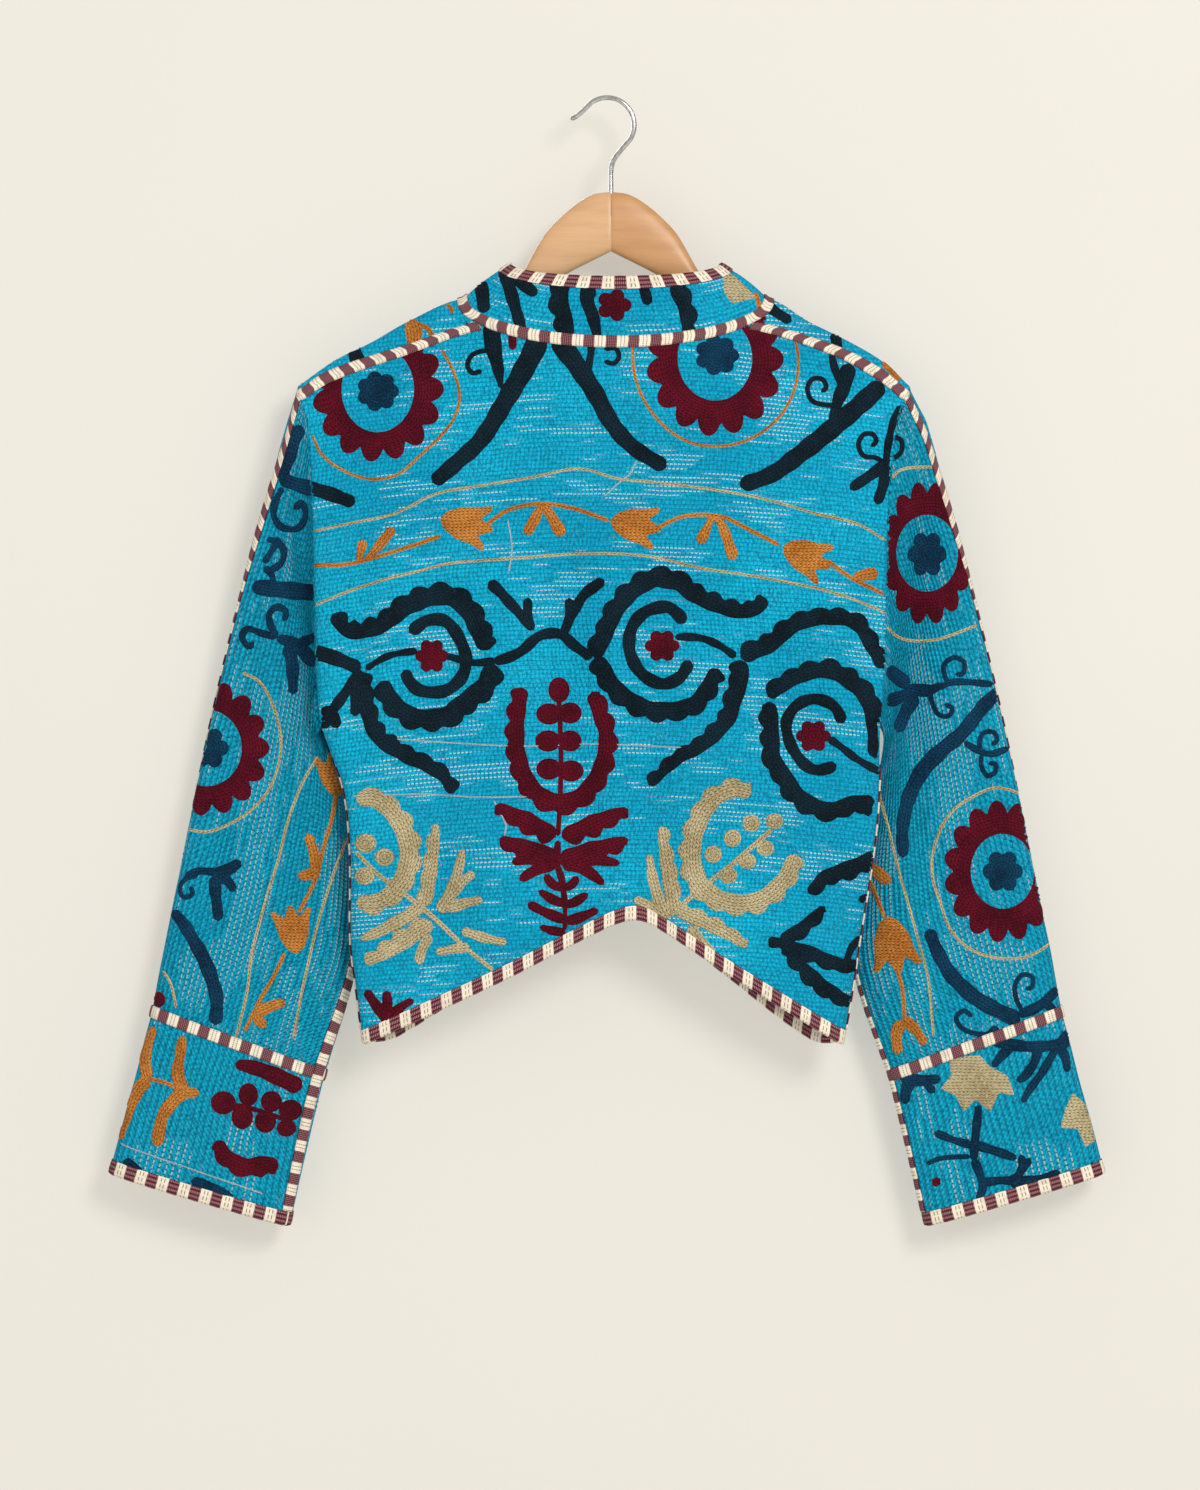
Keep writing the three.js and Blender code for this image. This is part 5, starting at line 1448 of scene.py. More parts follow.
class Stitching:
    """Collects raised threads on some panels, by colour, seen from the back or the front."""

    def __init__(self, panels, from_back, mirror=False, shift=(0, 0)):
        points, faces, directions = [], [], []
        for name in panels:
            rows, columns = outer[name].shape[:2]
            faces += grid_faces(rows, columns, sum(len(p) for p in points))
            points.append(outer[name].reshape(-1, 3))
            directions.append(normals[name].reshape(-1, 3))
        self.points = np.concatenate(points)
        self.directions = np.concatenate(directions)
        self.faces = faces
        self.tree = BVHTree.FromPolygons(self.points.tolist(), faces)
        self.way = 1 if from_back else -1
        self.mirror = mirror
        self.shift = shift
        self.layers = {}

    def surface_at(self, x, z):
        """The cloth's point behind a place of the picture, with its outward direction."""
        place, flat, index, _ = self.tree.ray_cast((x, -FAR_AWAY * self.way, z), (0, self.way, 0))
        if place is None or abs(flat[1]) < EDGE_ON:
            return None
        corners = self.faces[index]
        near = self.points[corners] - np.array(place)
        weights = 1 / (np.einsum("ij,ij->i", near, near) + 0.05)
        direction = weights @ self.directions[corners]
        return np.array(place), direction / np.linalg.norm(direction)

    def lay(self, colour, places, heights, uvs, faces):
        """Adds a flat pattern of places with heights above the cloth, dropping what misses it."""
        points, kept_faces, kept_uvs = self.layers.setdefault(colour, ([], [], []))
        start = len(points)
        x = -places[:, 0] + 2 * NECK_X if self.mirror else places[:, 0]
        kept = []
        for px, pz, height in zip(x + self.shift[0], places[:, 1] + self.shift[1], heights):
            found = self.surface_at(px, pz)
            kept.append(found is not None)
            points.append(found[0] + found[1] * height if found else np.zeros(3))
        kept_faces.extend([start + i for i in face] for face in faces if all(kept[i] for i in face))
        kept_uvs.extend(uvs.tolist())

    def stroke(self, colour, width, text, bumps="", taper=(1, 1)):
        """A line of thread; bumps L, R or B give it a scalloped side or two."""
        line = smooth_line(picture_points(text), STROKE_STEP)
        along = travelled_along(line)
        length = along[-1]
        tangent = np.gradient(line, axis=0)
        tangent /= np.linalg.norm(tangent, axis=1)[:, None]
        side = np.stack([-tangent[:, 1], tangent[:, 0]], axis=-1)
        half = width * PIXEL / 2 * np.interp(along / length, [0, 0.5, 1], [taper[0], 1, taper[1]])
        half = half + 0.35 * np.sin(along / 3.1 + line[0, 0]) * (width > THIN_STROKE)
        reach = np.minimum(half, length / 2)
        ends = np.minimum(np.minimum(along, length - along) / np.maximum(reach, 0.1), 1)
        cap = np.sqrt(np.maximum(0.01, 1 - (1 - ends) ** 2))
        wave = np.abs(np.sin(along / LOBE_PITCH * math.pi + line[0, 1]))
        swell = LOBE_SWELL * wave**0.9 * min(width / 17, 1.1)
        left = (half + (swell if bumps in ("L", "B") else 0)) * cap
        right = (half + (swell if bumps in ("R", "B") else 0)) * cap
        if width <= THIN_STROKE:
            across = np.array([-1, -0.6, 0.6, 1])
            dome = np.array([-THREAD_SINK, THIN_RISE, THIN_RISE, -THREAD_SINK])
        else:
            across, dome = ACROSS_STROKE, DOME
        offset = np.where(across[None, :] < 0, right[:, None], left[:, None]) * across[None, :]
        places = line[:, None, :] + side[:, None, :] * offset[:, :, None]
        uvs = np.stack([np.broadcast_to(along[:, None], offset.shape), offset + 100], axis=-1)
        heights = np.broadcast_to(dome[None, :], offset.shape)
        faces = grid_faces(len(line), len(across))
        self.lay(colour, places.reshape(-1, 2), heights.ravel(), uvs.reshape(-1, 2), faces)

    def band(self, colour, centre, hole, rim, lobes=0, depth=0.0):
        """A ring, or a full disc when hole is 0, with a lobed rim; sizes are across and up, in pixels."""
        middle = picture_points(f"{centre[0]},{centre[1]}")[0]
        big = max(rim) * PIXEL
        count = max(16, int(2 * math.pi * big / 1.8), lobes * 6)
        turn = np.radians(np.linspace(0, 360, count + 1))
        lobe = 1 - depth * (1 - np.abs(np.cos(lobes * turn / 2)) ** 0.75) if lobes else np.ones_like(turn)
        outside = np.stack([np.cos(turn) * rim[0] * lobe, np.sin(turn) * rim[1] * lobe], axis=-1) * PIXEL
        inside = np.stack([np.cos(turn) * hole[0], np.sin(turn) * hole[1]], axis=-1) * PIXEL
        solid = hole[0] == 0
        shares = FROM_MIDDLE if solid else (ACROSS_STROKE + 1) / 2
        heights = dome_at(shares) if solid else DOME
        places = middle + inside[None] + (outside - inside)[None] * shares[:, None, None]
        radial = np.linalg.norm(places - middle, axis=2)
        uvs = np.stack([np.broadcast_to((turn * big * 0.7)[None], radial.shape), radial + 100], axis=-1)
        faces = grid_faces(len(shares), count + 1)
        heights = np.broadcast_to(heights[:, None], radial.shape)
        self.lay(colour, places.reshape(-1, 2), heights.ravel(), uvs.reshape(-1, 2), faces)

    def shape(self, colour, centre, outline):
        """A filled patch; the outline is in pixels and can be seen whole from the centre."""
        corners = np.array([[(x - MIDDLE_PX) * PIXEL, -(y - ORIGIN_PX) * PIXEL] for x, y in outline])
        corners = np.concatenate([corners, corners[:1]])
        along = travelled_along(corners)
        places = np.linspace(0, along[-1], max(24, int(along[-1] / 1.6)) + 1)
        rim = np.stack([np.interp(places, along, corners[:, k]) for k in (0, 1)], axis=-1)
        rim[:-1] = (np.roll(rim[:-1], 1, axis=0) + 2 * rim[:-1] + np.roll(rim[:-1], -1, axis=0)) / 4
        rim[-1] = rim[0]
        middle = picture_points(f"{centre[0]},{centre[1]}")[0]
        grid = middle + (rim - middle)[None] * FROM_MIDDLE[:, None, None]
        heights = np.broadcast_to(dome_at(FROM_MIDDLE)[:, None], grid.shape[:2])
        faces = grid_faces(len(FROM_MIDDLE), len(rim))
        self.lay(colour, grid.reshape(-1, 2), heights.ravel(), grid.reshape(-1, 2) + 900, faces)

    def tulip(self, colour, centre, size, turn):
        """A flower seen from its side: a cup with three points, opening in the direction of turn."""
        angle = math.radians(turn)
        ways = np.array([[math.cos(angle), -math.sin(angle)], [math.sin(angle), math.cos(angle)]])
        outline = [np.array(centre) + (ways @ np.array(p)) * np.array([1, -1]) * size for p in TULIP]
        self.shape(colour, centre, outline)

    def finish(self, name):
        """The pieces of thread, one for each colour that has any faces."""
        made = []
        for colour, (points, faces, uvs) in self.layers.items():
            if not faces:
                continue
            mesh = make_mesh(f"{name}_{colour}", np.array(points), faces, np.array(uvs))
            bm = bmesh.new()
            bm.from_mesh(mesh)
            loose = [v for v in bm.verts if not v.link_faces]
            bmesh.ops.delete(bm, geom=loose, context="VERTS")
            bm.normal_update()
            wrong = [f for f in bm.faces if f.normal.y * self.way > 0]
            bmesh.ops.reverse_faces(bm, faces=wrong)
            bm.to_mesh(mesh)
            bm.free()
            piece = new_object(f"threads_{name}_{colour}", mesh, THREADS[colour])
            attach(piece, "root")
            made.append(piece)
        return made


def sew(work, rows):
    """Lays strokes from rows of colour, width, places, scalloped sides and tapers."""
    for row in rows:
        work.stroke(*row)


COLLAR_FLOWER = [(723, 266), (736, 274), (746, 284), (758, 296), (744, 300), (732, 303), (724, 292)]
BACK_STROKES = [
    # The forked branch under the neck
    ("navy", 19, "541,335 528,362 507,398 482,438 457,462 433,483", "", (1.25, 0.85)),
    ("navy", 18, "555,338 574,362 594,392 612,424 634,448 666,468", "", (1.2, 0.85)),
    ("navy", 16, "491,322 493,345 498,368 501,388", "", (1.3, 0.35)),
    ("navy", 6, "494,352 484,350 472,354 467,364 472,372 482,370"),
    ("maroon", 8, "512,333 513,350"),
    ("navy", 8, "592,340 590,360 585,377"),
    ("navy", 6, "604,350 615,349 619,357 614,364 604,362"),
    ("navy", 20, "884,382 858,406 830,430 800,454 772,474 740,486", "", (1, 0.8)),
    ("navy", 14, "850,362 846,382 838,402 833,424", "", (1.2, 0.6)),
    ("navy", 6, "838,404 826,404 813,400 808,388 813,378 823,378 827,386 822,391"),
    ("navy", 8, "832,352 836,368 842,384"),
    ("navy", 15, "300,486 322,491 355,503", "", (1, 0.9)),
    # Loose and long pale stitches
    ("white", 1.8, "637,460 630,474 619,483 604,497"),
    ("white", 1.8, "508,520 512,548 509,574"),
    ("white", 1.6, "380,738 440,742 520,746 600,744 690,748"),
    ("white", 1.6, "352,796 420,794 480,797 548,796"),
    ("white", 1.8, "494,800 500,812 506,824 505,836"),
    # Ochre rings round the rosettes, the two tan lines and the vine between them
    ("ochre", 3.4,
     "441,348 452,368 459,392 455,415 440,436 420,455 398,474 372,479 345,471 322,455 "
     "311,434"),
    ("ochre", 3.4,
     "632,342 634,372 642,397 658,420 680,438 706,446 735,444 762,432 783,412 795,388 "
     "799,362 796,336"),
    ("tan", 3.4,
     "313,531 352,523 394,514 436,494 479,486 530,478 578,469 618,479 650,482 692,487 "
     "740,494 779,503 817,514 855,523 886,540"),
    ("tan", 3.4,
     "312,606 350,591 384,580 420,571 453,563 512,559 578,554 644,556 700,568 758,577 "
     "814,588 852,599 886,613"),
    ("ochre", 5, "312,565 340,565 359,562 387,554 412,546 441,536"),
    ("ochre", 5, "482,530 496,518 512,509 542,504 575,509 609,521"),
    ("ochre", 5, "656,529 678,518 700,515 722,517 738,524 753,532 779,545"),
    ("ochre", 5, "826,560 842,572 855,580 884,594"),
    ("ochre", 9, "359,562 361,550 364,540", "", (0.7, 1.2)),
    ("ochre", 10, "366,560 380,545 394,528", "", (0.6, 1.1)),
    ("ochre", 11, "542,505 535,519 526,535", "", (0.6, 1.1)),
    ("ochre", 12, "544,505 554,521 563,536", "", (0.6, 1.1)),
    ("ochre", 10, "712,517 706,530 699,544", "", (0.6, 1.1)),
    ("ochre", 11, "713,517 722,526 734,560", "", (0.6, 1.1)),
    ("ochre", 13, "853,578 864,575 878,573", "", (0.7, 1)),
    # Left medallion
    ("navy", 19,
     "333,614 344,628 356,632 376,628 390,620 402,610 415,603 428,598 443,596 455,599 "
     "465,607 473,618 480,633 489,650", "L", (0.7, 1)),
    ("navy", 13, "410,633 427,621 445,621 458,636 466,657 462,677 445,691 422,691 410,682 405,670"),
    ("navy", 19,
     "382,681 390,698 402,710 415,717 432,718 448,715 460,706 470,698 486,684 494,664", "R", (0.9, 1)),
    ("navy", 7, "366,669 377,662 389,656 402,653 418,651"),
    ("navy", 8, "446,656 462,660 476,663 496,661"),
    ("navy", 11, "494,662 508,658 522,651 540,636 560,634 575,646 592,658"),
    ("navy", 11, "489,582 500,592 509,602 520,614 534,630", "", (1.1, 0.9)),
    ("navy", 9, "528,598 528,612 531,628"),
    ("navy", 11, "604,580 594,587 583,596 573,613 563,634", "", (1.1, 0.8)),
    ("navy", 9, "569,598 569,614 566,630"),
    # Right medallion
    ("navy", 18,
     "595,658 600,645 606,633 611,620 618,608 632,592 652,580 666,580 680,584 694,595 "
     "715,605 734,611 751,611 767,600", "L", (0.9, 0.7)),
    ("navy", 13, "685,623 676,613 665,607 644,613 631,630 630,653 642,674 662,684 680,677 690,661"),
    ("navy", 17, "596,657 604,671 616,689 637,704 657,710 683,708 700,698 718,669", "R", (1, 0.9)),
    ("navy", 8, "675,637 699,638 718,645 736,657"),
    ("navy", 15, "739,660 740,680 734,699 727,720 706,742 690,752 675,761 649,785", "R", (1.2, 0.6)),
    ("navy", 15,
     "741,658 752,652 772,643 791,627 814,619 843,619 859,626 871,645 884,668", "L", (1.2, 0.9)),
    # Third medallion
    ("navy", 17, "768,697 781,686 805,674 829,671 852,683 866,697 873,716 876,739 875,758", "L", (0.8, 1)),
    ("navy", 12, "843,723 833,706 814,699 796,706 786,723 791,746 805,765 819,770 836,765"),
    ("navy", 17,
     "769,702 771,728 773,758 784,776 795,793 810,804 830,810 849,804 874,801", "R", (0.9, 0.9)),
    ("navy", 8, "828,738 842,748 858,760 884,774"),
    ("navy", 10, "866,800 868,816"),
    # Left cluster
    ("navy", 15, "310,652 322,654 340,660 361,669", "", (1.2, 0.9)),
    ("navy", 11, "361,670 346,692 333,710 322,728", "", (1, 1)),
    ("navy", 14, "322,708 332,716 338,728", "", (1, 0.8)),
    ("navy", 11, "358,672 356,695 355,716"),
    ("navy", 16,
     "362,672 364,697 368,714 374,730 384,742 397,750 408,757 422,763 443,776 454,793", "L", (0.9, 0.7)),
    # Maroon calyx with berries, and its stem of leaves
    ("maroon", 18,
     "523,688 519,708 517,733 519,758 529,783 545,798 565,802 583,794 597,776 604,757 "
     "606,735 600,715 592,692", "R", (0.8, 0.8)),
    ("maroon", 6, "558,690 560,720 561,760 560,803 558,836"),
    ("maroon", 19, "496,805 512,813 530,822 556,836", "R", (0.4, 0.8)),
    ("maroon", 19, "628,809 610,816 592,824 562,837", "L", (0.4, 0.8)),
    ("maroon", 20, "500,838 518,845 536,852 560,862", "R", (0.4, 1.1)),
    ("maroon", 20, "628,839 606,846 586,853 560,862", "L", (0.4, 1.1)),
    ("maroon", 12, "512,862 530,859 548,864", "", (0.6, 1.2)),
    ("maroon", 12, "620,863 596,860 572,864", "", (0.6, 1.2)),
    ("maroon", 13, "520,880 530,873 542,867 556,862", "", (0.6, 1.1)),
    ("maroon", 13, "604,884 592,874 580,867 564,862", "", (0.6, 1.1)),
    ("maroon", 7, "558,840 557,862 562,880 565,905 565,930", "", (1, 0.6)),
    ("maroon", 10, "564,888 553,884 545,874", "", (1, 0.7)),
    ("maroon", 10, "564,888 572,884 578,876", "", (1, 0.7)),
    ("maroon", 10, "565,904 551,898 539,890", "", (1, 0.7)),
    ("maroon", 10, "565,905 576,901 588,893", "", (1, 0.7)),
    ("maroon", 11, "566,920 546,912 528,903", "", (1, 0.7)),
    ("maroon", 11, "566,921 580,917 598,909", "", (1, 0.7)),
    ("maroon", 9, "566,932 552,930 540,926", "", (1, 0.8)),
    # Tan sprigs
    ("tan", 19, "357,800 370,799 383,804 399,821 408,844 407,867 396,888 378,901 357,902", "L", (0.8, 0.8)),
    ("tan", 6, "356,852 372,868 386,880 417,903 440,923 466,947 494,970", "", (0.8, 0.8)),
    ("tan", 13, "437,824 434,848 430,880 425,906", "R", (0.6, 1)),
    ("tan", 12, "463,849 459,868 452,890 440,912", "", (0.6, 1.2)),
    ("tan", 11, "475,872 462,882 448,898", "", (0.7, 1.1)),
    ("tan", 11, "483,899 468,902 446,908", "", (0.7, 1.2)),
    ("tan", 14, "361,939 382,930 404,918 422,906", "", (0.5, 1)),
    ("tan", 17, "366,963 386,952 408,938 432,922", "L", (0.5, 0.9)),
    ("tan", 11, "419,964 422,950 430,934", "", (0.8, 1)),
    ("tan", 10, "507,942 488,938 462,930", "", (0.8, 1)),
    ("tan", 10, "436,952 452,949 470,946", "", (0.8, 1)),
    ("tan", 19,
     "751,793 734,790 715,798 701,817 694,836 692,859 699,882 715,896 734,902 757,900 "
     "776,887 788,871 795,854", "R", (0.8, 0.8)),
    ("tan", 6, "667,917 700,889 735,861 772,829"),
    ("tan", 14, "661,826 664,850 669,880 674,912", "L", (0.5, 1)),
    ("tan", 12, "649,854 652,875 659,900 667,918", "", (0.6, 1)),
    ("tan", 13, "634,898 648,906 664,918", "", (0.7, 1)),
    ("tan", 14, "747,946 724,932 702,921 676,910", "R", (0.5, 1)),
    ("tan", 11, "716,958 704,944 688,926", "", (0.7, 1)),
    # Lower right
    ("navy", 16, "880,855 864,862 846,869 824,877 808,893", "L", (1, 0.6)),
    ("navy", 8, "858,900 874,896"),
    ("navy", 14, "768,939 790,945 812,953 834,962 860,966", "R", (0.6, 0.8)),
    ("navy", 13, "824,906 812,918 798,930 780,940", "L", (0.6, 1)),
    ("navy", 8, "845,966 850,950 858,940 868,934"),
    ("navy", 15, "784,946 798,962 818,982 836,994 854,1004", "R", (0.6, 0.7)),
    ("maroon", 12, "366,990 376,1004 388,1020 392,1036", "", (0.8, 1.2)),
    ("maroon", 11, "414,999 402,1006 390,1018 382,1034", "", (0.7, 1.2)),
    ("maroon", 11, "387,990 388,1004 388,1018", "", (0.7, 1.1)),
]
SHOULDER_STROKES = [
    ("navy", 8, "902,404 894,422 889,444 886,466"),
    ("navy", 6, "885,462 876,457 864,455 859,444 864,434 873,433 877,440 872,446"),
    ("navy", 6, "888,459 897,456 903,449 902,439 894,436 889,441"),
    ("navy", 12, "888,462 872,474 850,489", "", (1, 0.8)),
    ("navy", 12, "888,464 884,484 877,504", "", (1, 0.8)),
]
BACK_DISCS = [
    # colour, centre, size, lobes, depth
    ("blue", (377, 390), (22, 21), 7, 0.22),
    ("blue", (717, 355), (23, 21), 7, 0.22),
    ("maroon", (432, 656), (17, 18), 6, 0.3),
    ("maroon", (662, 646), (18, 17), 6, 0.3),
    ("maroon", (813, 736), (18, 17), 6, 0.3),
    ("maroon", (559, 690), (11, 13), 0, 0),
    ("maroon", (549, 714), (13, 11), 0, 0),
    ("maroon", (570, 713), (12, 11), 0, 0),
    ("maroon", (548, 741), (13, 11), 0, 0),
    ("maroon", (570, 741), (12, 11), 0, 0),
    ("maroon", (549, 769), (13, 11), 0, 0),
    ("maroon", (571, 771), (13, 11), 0, 0),
    ("tan", (366, 843), (11, 10), 0, 0),
    ("tan", (385, 857), (10, 9), 0, 0),
    ("tan", (365, 876), (10, 9), 0, 0),
    ("tan", (713, 854), (9, 9), 0, 0),
    ("tan", (732, 838), (9, 9), 0, 0),
    ("tan", (751, 823), (9, 9), 0, 0),
    ("tan", (774, 821), (9, 8), 0, 0),
    ("tan", (728, 875), (9, 9), 0, 0),
    ("tan", (747, 861), (9, 8), 0, 0),
    ("tan", (765, 848), (9, 8), 0, 0),
]
YOKE_STROKES = [
    ("ochre", 17, "410,318 413,330 414,346", "", (1.1, 1)),
    ("ochre", 6, "418,322 428,328 434,340"),
    ("navy", 15, "350,338 354,352 360,368", "", (1, 1.1)),
    ("ochre", 5, "442,300 450,306 452,312"),
    ("navy", 12, "764,300 776,310 792,320", "", (1, 0.8)),
    ("navy", 12, "836,330 838,345 838,362"),
    ("ochre", 9, "884,360 893,368 902,378"),
]
COLLAR_STROKES = [
    ("navy", 13, "503,262 508,282 516,310 524,338", "", (1.2, 0.8)),
    ("navy", 13, "506,268 520,281 537,295", "", (0.8, 0.9)),
    ("navy", 14, "479,276 482,292 484,312"),
    ("navy", 17, "563,280 560,300 564,316 568,340", "R", (1, 0.9)),
    ("navy", 14, "588,282 587,300 593,318 598,340", "", (1, 0.7)),
    ("navy", 12, "642,284 646,296 648,306", "", (0.9, 0.8)),
    ("navy", 9, "590,282 592,300"),
    ("navy", 15, "676,282 680,296 686,312 688,336", "L", (1.2, 0.8)),
    ("ochre", 6, "756,290 760,306 758,318"),
]
LEFT_ARM_STROKES = [
    ("blue", 15, "300,424 292,440 286,458 278,476", "", (0.9, 1)),
    ("blue", 15, "278,477 292,482 308,487 324,492", "", (0.9, 1)),
    ("blue", 7, "281,486 274,500 272,514 280,526 296,527 304,514 300,502 292,508"),
    ("blue", 7, "265,538 276,541 282,550 279,562 268,570"),
    ("blue", 7, "277,536 272,546 262,562"),
    ("blue", 18, "250,586 272,588 294,590 316,592", "", (0.9, 1)),
    ("blue", 7, "272,588 270,574 262,566"),
    ("blue", 7, "275,637 268,622 268,612 276,606 284,611 282,620"),
    ("blue", 7, "275,637 258,632 246,628 240,636 246,646 252,642"),
    ("blue", 14, "275,637 294,644 308,658 316,662", "", (0.7, 1.1)),
    ("blue", 13, "286,644 290,664 291,694", "", (1.1, 0.7)),
    ("blue", 11, "292,646 304,640 318,634", "", (0.9, 0.8)),
    ("tan", 3.6, "240,672 258,682 270,702 278,730 278,756 270,784 254,806 232,822 206,832 184,830"),
    ("blue", 8, "182,878 196,872 214,873", "", (0.8, 1.1)),
    ("blue", 12, "212,873 226,870 239,862", "", (0.9, 1)),
    ("blue", 11, "214,874 226,882 233,892", "", (1.1, 0.8)),
    ("blue", 12, "212,876 214,898 217,922", "", (1.1, 0.8)),
    ("blue", 6, "196,876 183,880 177,889 181,898 190,895 188,887"),
    ("blue", 15, "170,912 182,926 192,942 202,960 210,980 215,1000 214,1026", "", (0.8, 0.9)),
    ("tan", 3.6, "160,972 168,984 172,998 174,1010"),
    ("tan", 3.6, "316,756 300,784 286,822 276,862 265,897 250,955 245,995 234,1040"),
    ("tan", 3.6, "345,838 338,858 330,880 316,926 308,960 300,995 292,1040"),
    ("ochre", 5, "335,790 330,820 322,848 314,880 297,914"),
    ("ochre", 11, "315,872 312,852 306,834", "", (1, 0.8)),
    ("ochre", 12, "317,870 308,875 296,877", "", (1, 0.9)),
    ("ochre", 5, "283,954 272,978 258,1002 243,1033"),
    ("ochre", 12, "254,1014 268,1008 284,1003", "", (1.2, 0.7)),
    ("ochre", 11, "254,1016 258,1022 264,1029", "", (1.1, 0.8)),
    # Cuff
    ("ochre", 12, "151,1028 145,1048 142,1064 146,1080", "", (0.6, 1.2)),
    ("ochre", 13, "146,1080 134,1094 125,1114 117,1142", "", (1.2, 0.5)),
    ("ochre", 5, "146,1080 162,1084 176,1090"),
    ("ochre", 12, "181,1037 178,1058 176,1076 182,1092", "", (0.8, 1.3)),
    ("ochre", 13, "184,1092 172,1102 160,1120 155,1148", "", (1.2, 1)),
    ("ochre", 12, "180,1092 188,1094 198,1094", "", (1.3, 0.5)),
    ("maroon", 17, "234,1065 256,1070 278,1079 300,1090", "", (0.7, 1.1)),
    ("maroon", 17, "215,1142 228,1160 246,1168 262,1166 277,1168", "R", (0.7, 1)),
    ("maroon", 6, "222,1104 250,1110 286,1122"),
    ("blue", 11, "121,1163 130,1168 140,1175", "", (1, 0.8)),
    ("blue", 11, "190,1182 205,1187 218,1193 232,1201", "", (1, 0.8)),
    ("white", 1.6, "117,1146 155,1159 200,1174 246,1190 262,1196"),
]
LEFT_ARM_DISCS = [
    ("blue", (205, 748), (22, 22), 6, 0.28),
    ("maroon", (222, 1104), (13, 12), 0, 0),
    ("maroon", (247, 1096), (10, 12), 0, 0),
    ("maroon", (241, 1118), (11, 13), 0, 0),
    ("maroon", (270, 1103), (11, 11), 0, 0),
    ("maroon", (264, 1123), (11, 12), 0, 0),
    ("maroon", (289, 1112), (12, 11), 0, 0),
    ("maroon", (285, 1130), (10, 9), 0, 0),
    ("maroon", (156, 1001), (7, 8), 0, 0),
]
RIGHT_ARM_STROKES = [
    ("tan", 3.6, "886,625 900,636 915,640 938,639 960,632 980,624"),
    ("tan", 3.6, "890,481 900,470 916,466 938,466 952,470"),
    ("blue", 15, "912,686 902,678 888,668", "", (0.9, 1.1)),
    ("blue", 13, "916,690 904,696 888,702", "", (0.9, 1.1)),
    ("blue", 14, "920,696 910,708 900,732", "", (1, 0.8)),
    ("blue", 13, "910,688 930,690 944,684", "", (1, 0.6)),
    ("blue", 7, "940,688 954,682 974,682 996,684"),
    ("blue", 6, "950,684 946,674 946,664 956,657 966,662 965,673 957,674"),
    ("blue", 6, "932,690 934,702 940,714 950,716 954,708 946,704"),
    ("blue", 17,
     "1003,690 986,706 965,732 944,750 926,769 914,790 907,812 904,834 905,858", "", (0.8, 0.7)),
    ("blue", 7, "966,742 980,750 994,754 1012,748"),
    ("blue", 6, "984,752 982,742 986,733 996,732 1000,740 994,745"),
    ("blue", 6, "984,754 984,766 990,776 998,772 998,764 991,764"),
    ("tan", 3.6,
     "1026,796 1012,790 993,789 965,803 949,818 939,838 934,860 935,882 941,900 951,928 "
     "964,944 980,954 1000,959 1022,959 1040,953 1058,942"),
    ("blue", 16, "930,930 938,950 950,972 962,986 977,999 996,1010 1022,1022", "", (0.8, 1)),
    ("blue", 11, "1020,1016 1036,1010 1048,1002 1062,990", "", (1, 0.9)),
    ("blue", 9, "1046,1002 1054,1010 1062,1018", "", (1, 0.8)),
    ("blue", 6, "1024,1012 1018,1000 1017,986 1024,976 1034,978 1034,988 1027,990"),
    ("blue", 6, "990,1036 974,1034 962,1028 958,1018 966,1012 974,1018"),
    ("blue", 8, "1000,1028 990,1036 978,1042"),
    ("ochre", 13, "870,866 880,874 892,884", "", (0.9, 0.8)),
    ("ochre", 5, "866,868 876,892 886,918"),
    ("ochre", 5, "899,972 904,992 906,1022"),
    ("ochre", 12, "904,1022 898,1036 900,1056", "", (1.1, 0.8)),
    ("ochre", 11, "904,1020 916,1030 927,1046", "", (1.1, 0.8)),
    ("tan", 3.4, "875,768 888,820 900,870 910,906 921,946 930,982 935,1038"),
    # Cuff
    ("blue", 9, "980,1106 978,1126 976,1146 975,1162", "", (0.9, 1)),
    ("blue", 8, "936,1134 956,1142 978,1148", "", (1, 1)),
    ("blue", 10, "976,1146 996,1152 1018,1160", "", (1, 0.8)),
    ("blue", 6, "928,1166 944,1160 972,1158"),
    ("blue", 9, "975,1160 982,1178 984,1190 979,1202", "", (1, 0.8)),
    ("blue", 9, "984,1184 1000,1182 1016,1180 1032,1160", "", (1, 0.8)),
    ("blue", 10, "1010,1181 1034,1182 1050,1178 1062,1174", "", (1, 0.8)),
    ("blue", 9, "1012,1184 1020,1188 1026,1198", "", (1, 0.8)),
    ("blue", 9, "1020,1176 1024,1166 1022,1156", "", (1, 0.7)),
    ("maroon", 11, "934,1182 942,1186"),
    ("blue", 12, "994,1042 1014,1046 1040,1048 1074,1044", "", (1, 0.9)),
    ("blue", 10, "1014,1047 1004,1056 994,1068", "", (1, 0.8)),
    ("blue", 10, "1040,1050 1036,1064 1026,1078 1018,1082", "", (1, 0.8)),
    ("blue", 9, "1058,1050 1044,1074 1032,1090 1024,1104", "", (1, 0.8)),
    ("blue", 10, "1062,1048 1068,1060 1070,1074", "", (1, 0.8)),
    ("blue", 9, "1060,1046 1066,1040 1072,1034"),
    ("blue", 12, "902,1080 920,1082 942,1080", "", (1, 0.8)),
    ("blue", 12, "914,1082 908,1092 907,1106", "", (1, 0.8)),
    ("blue", 8, "926,1080 930,1088 936,1094"),
]
RIGHT_ARM_DISCS = [
    ("blue", (929, 553), (20, 24), 6, 0.28),
    ("blue", (1005, 872), (21, 22), 6, 0.28),
]
CUFF_FLOWER = [(950, 1060), (966, 1057), (982, 1056), (990, 1066), (1010, 1077), (1017, 1097), (1001, 1094)]
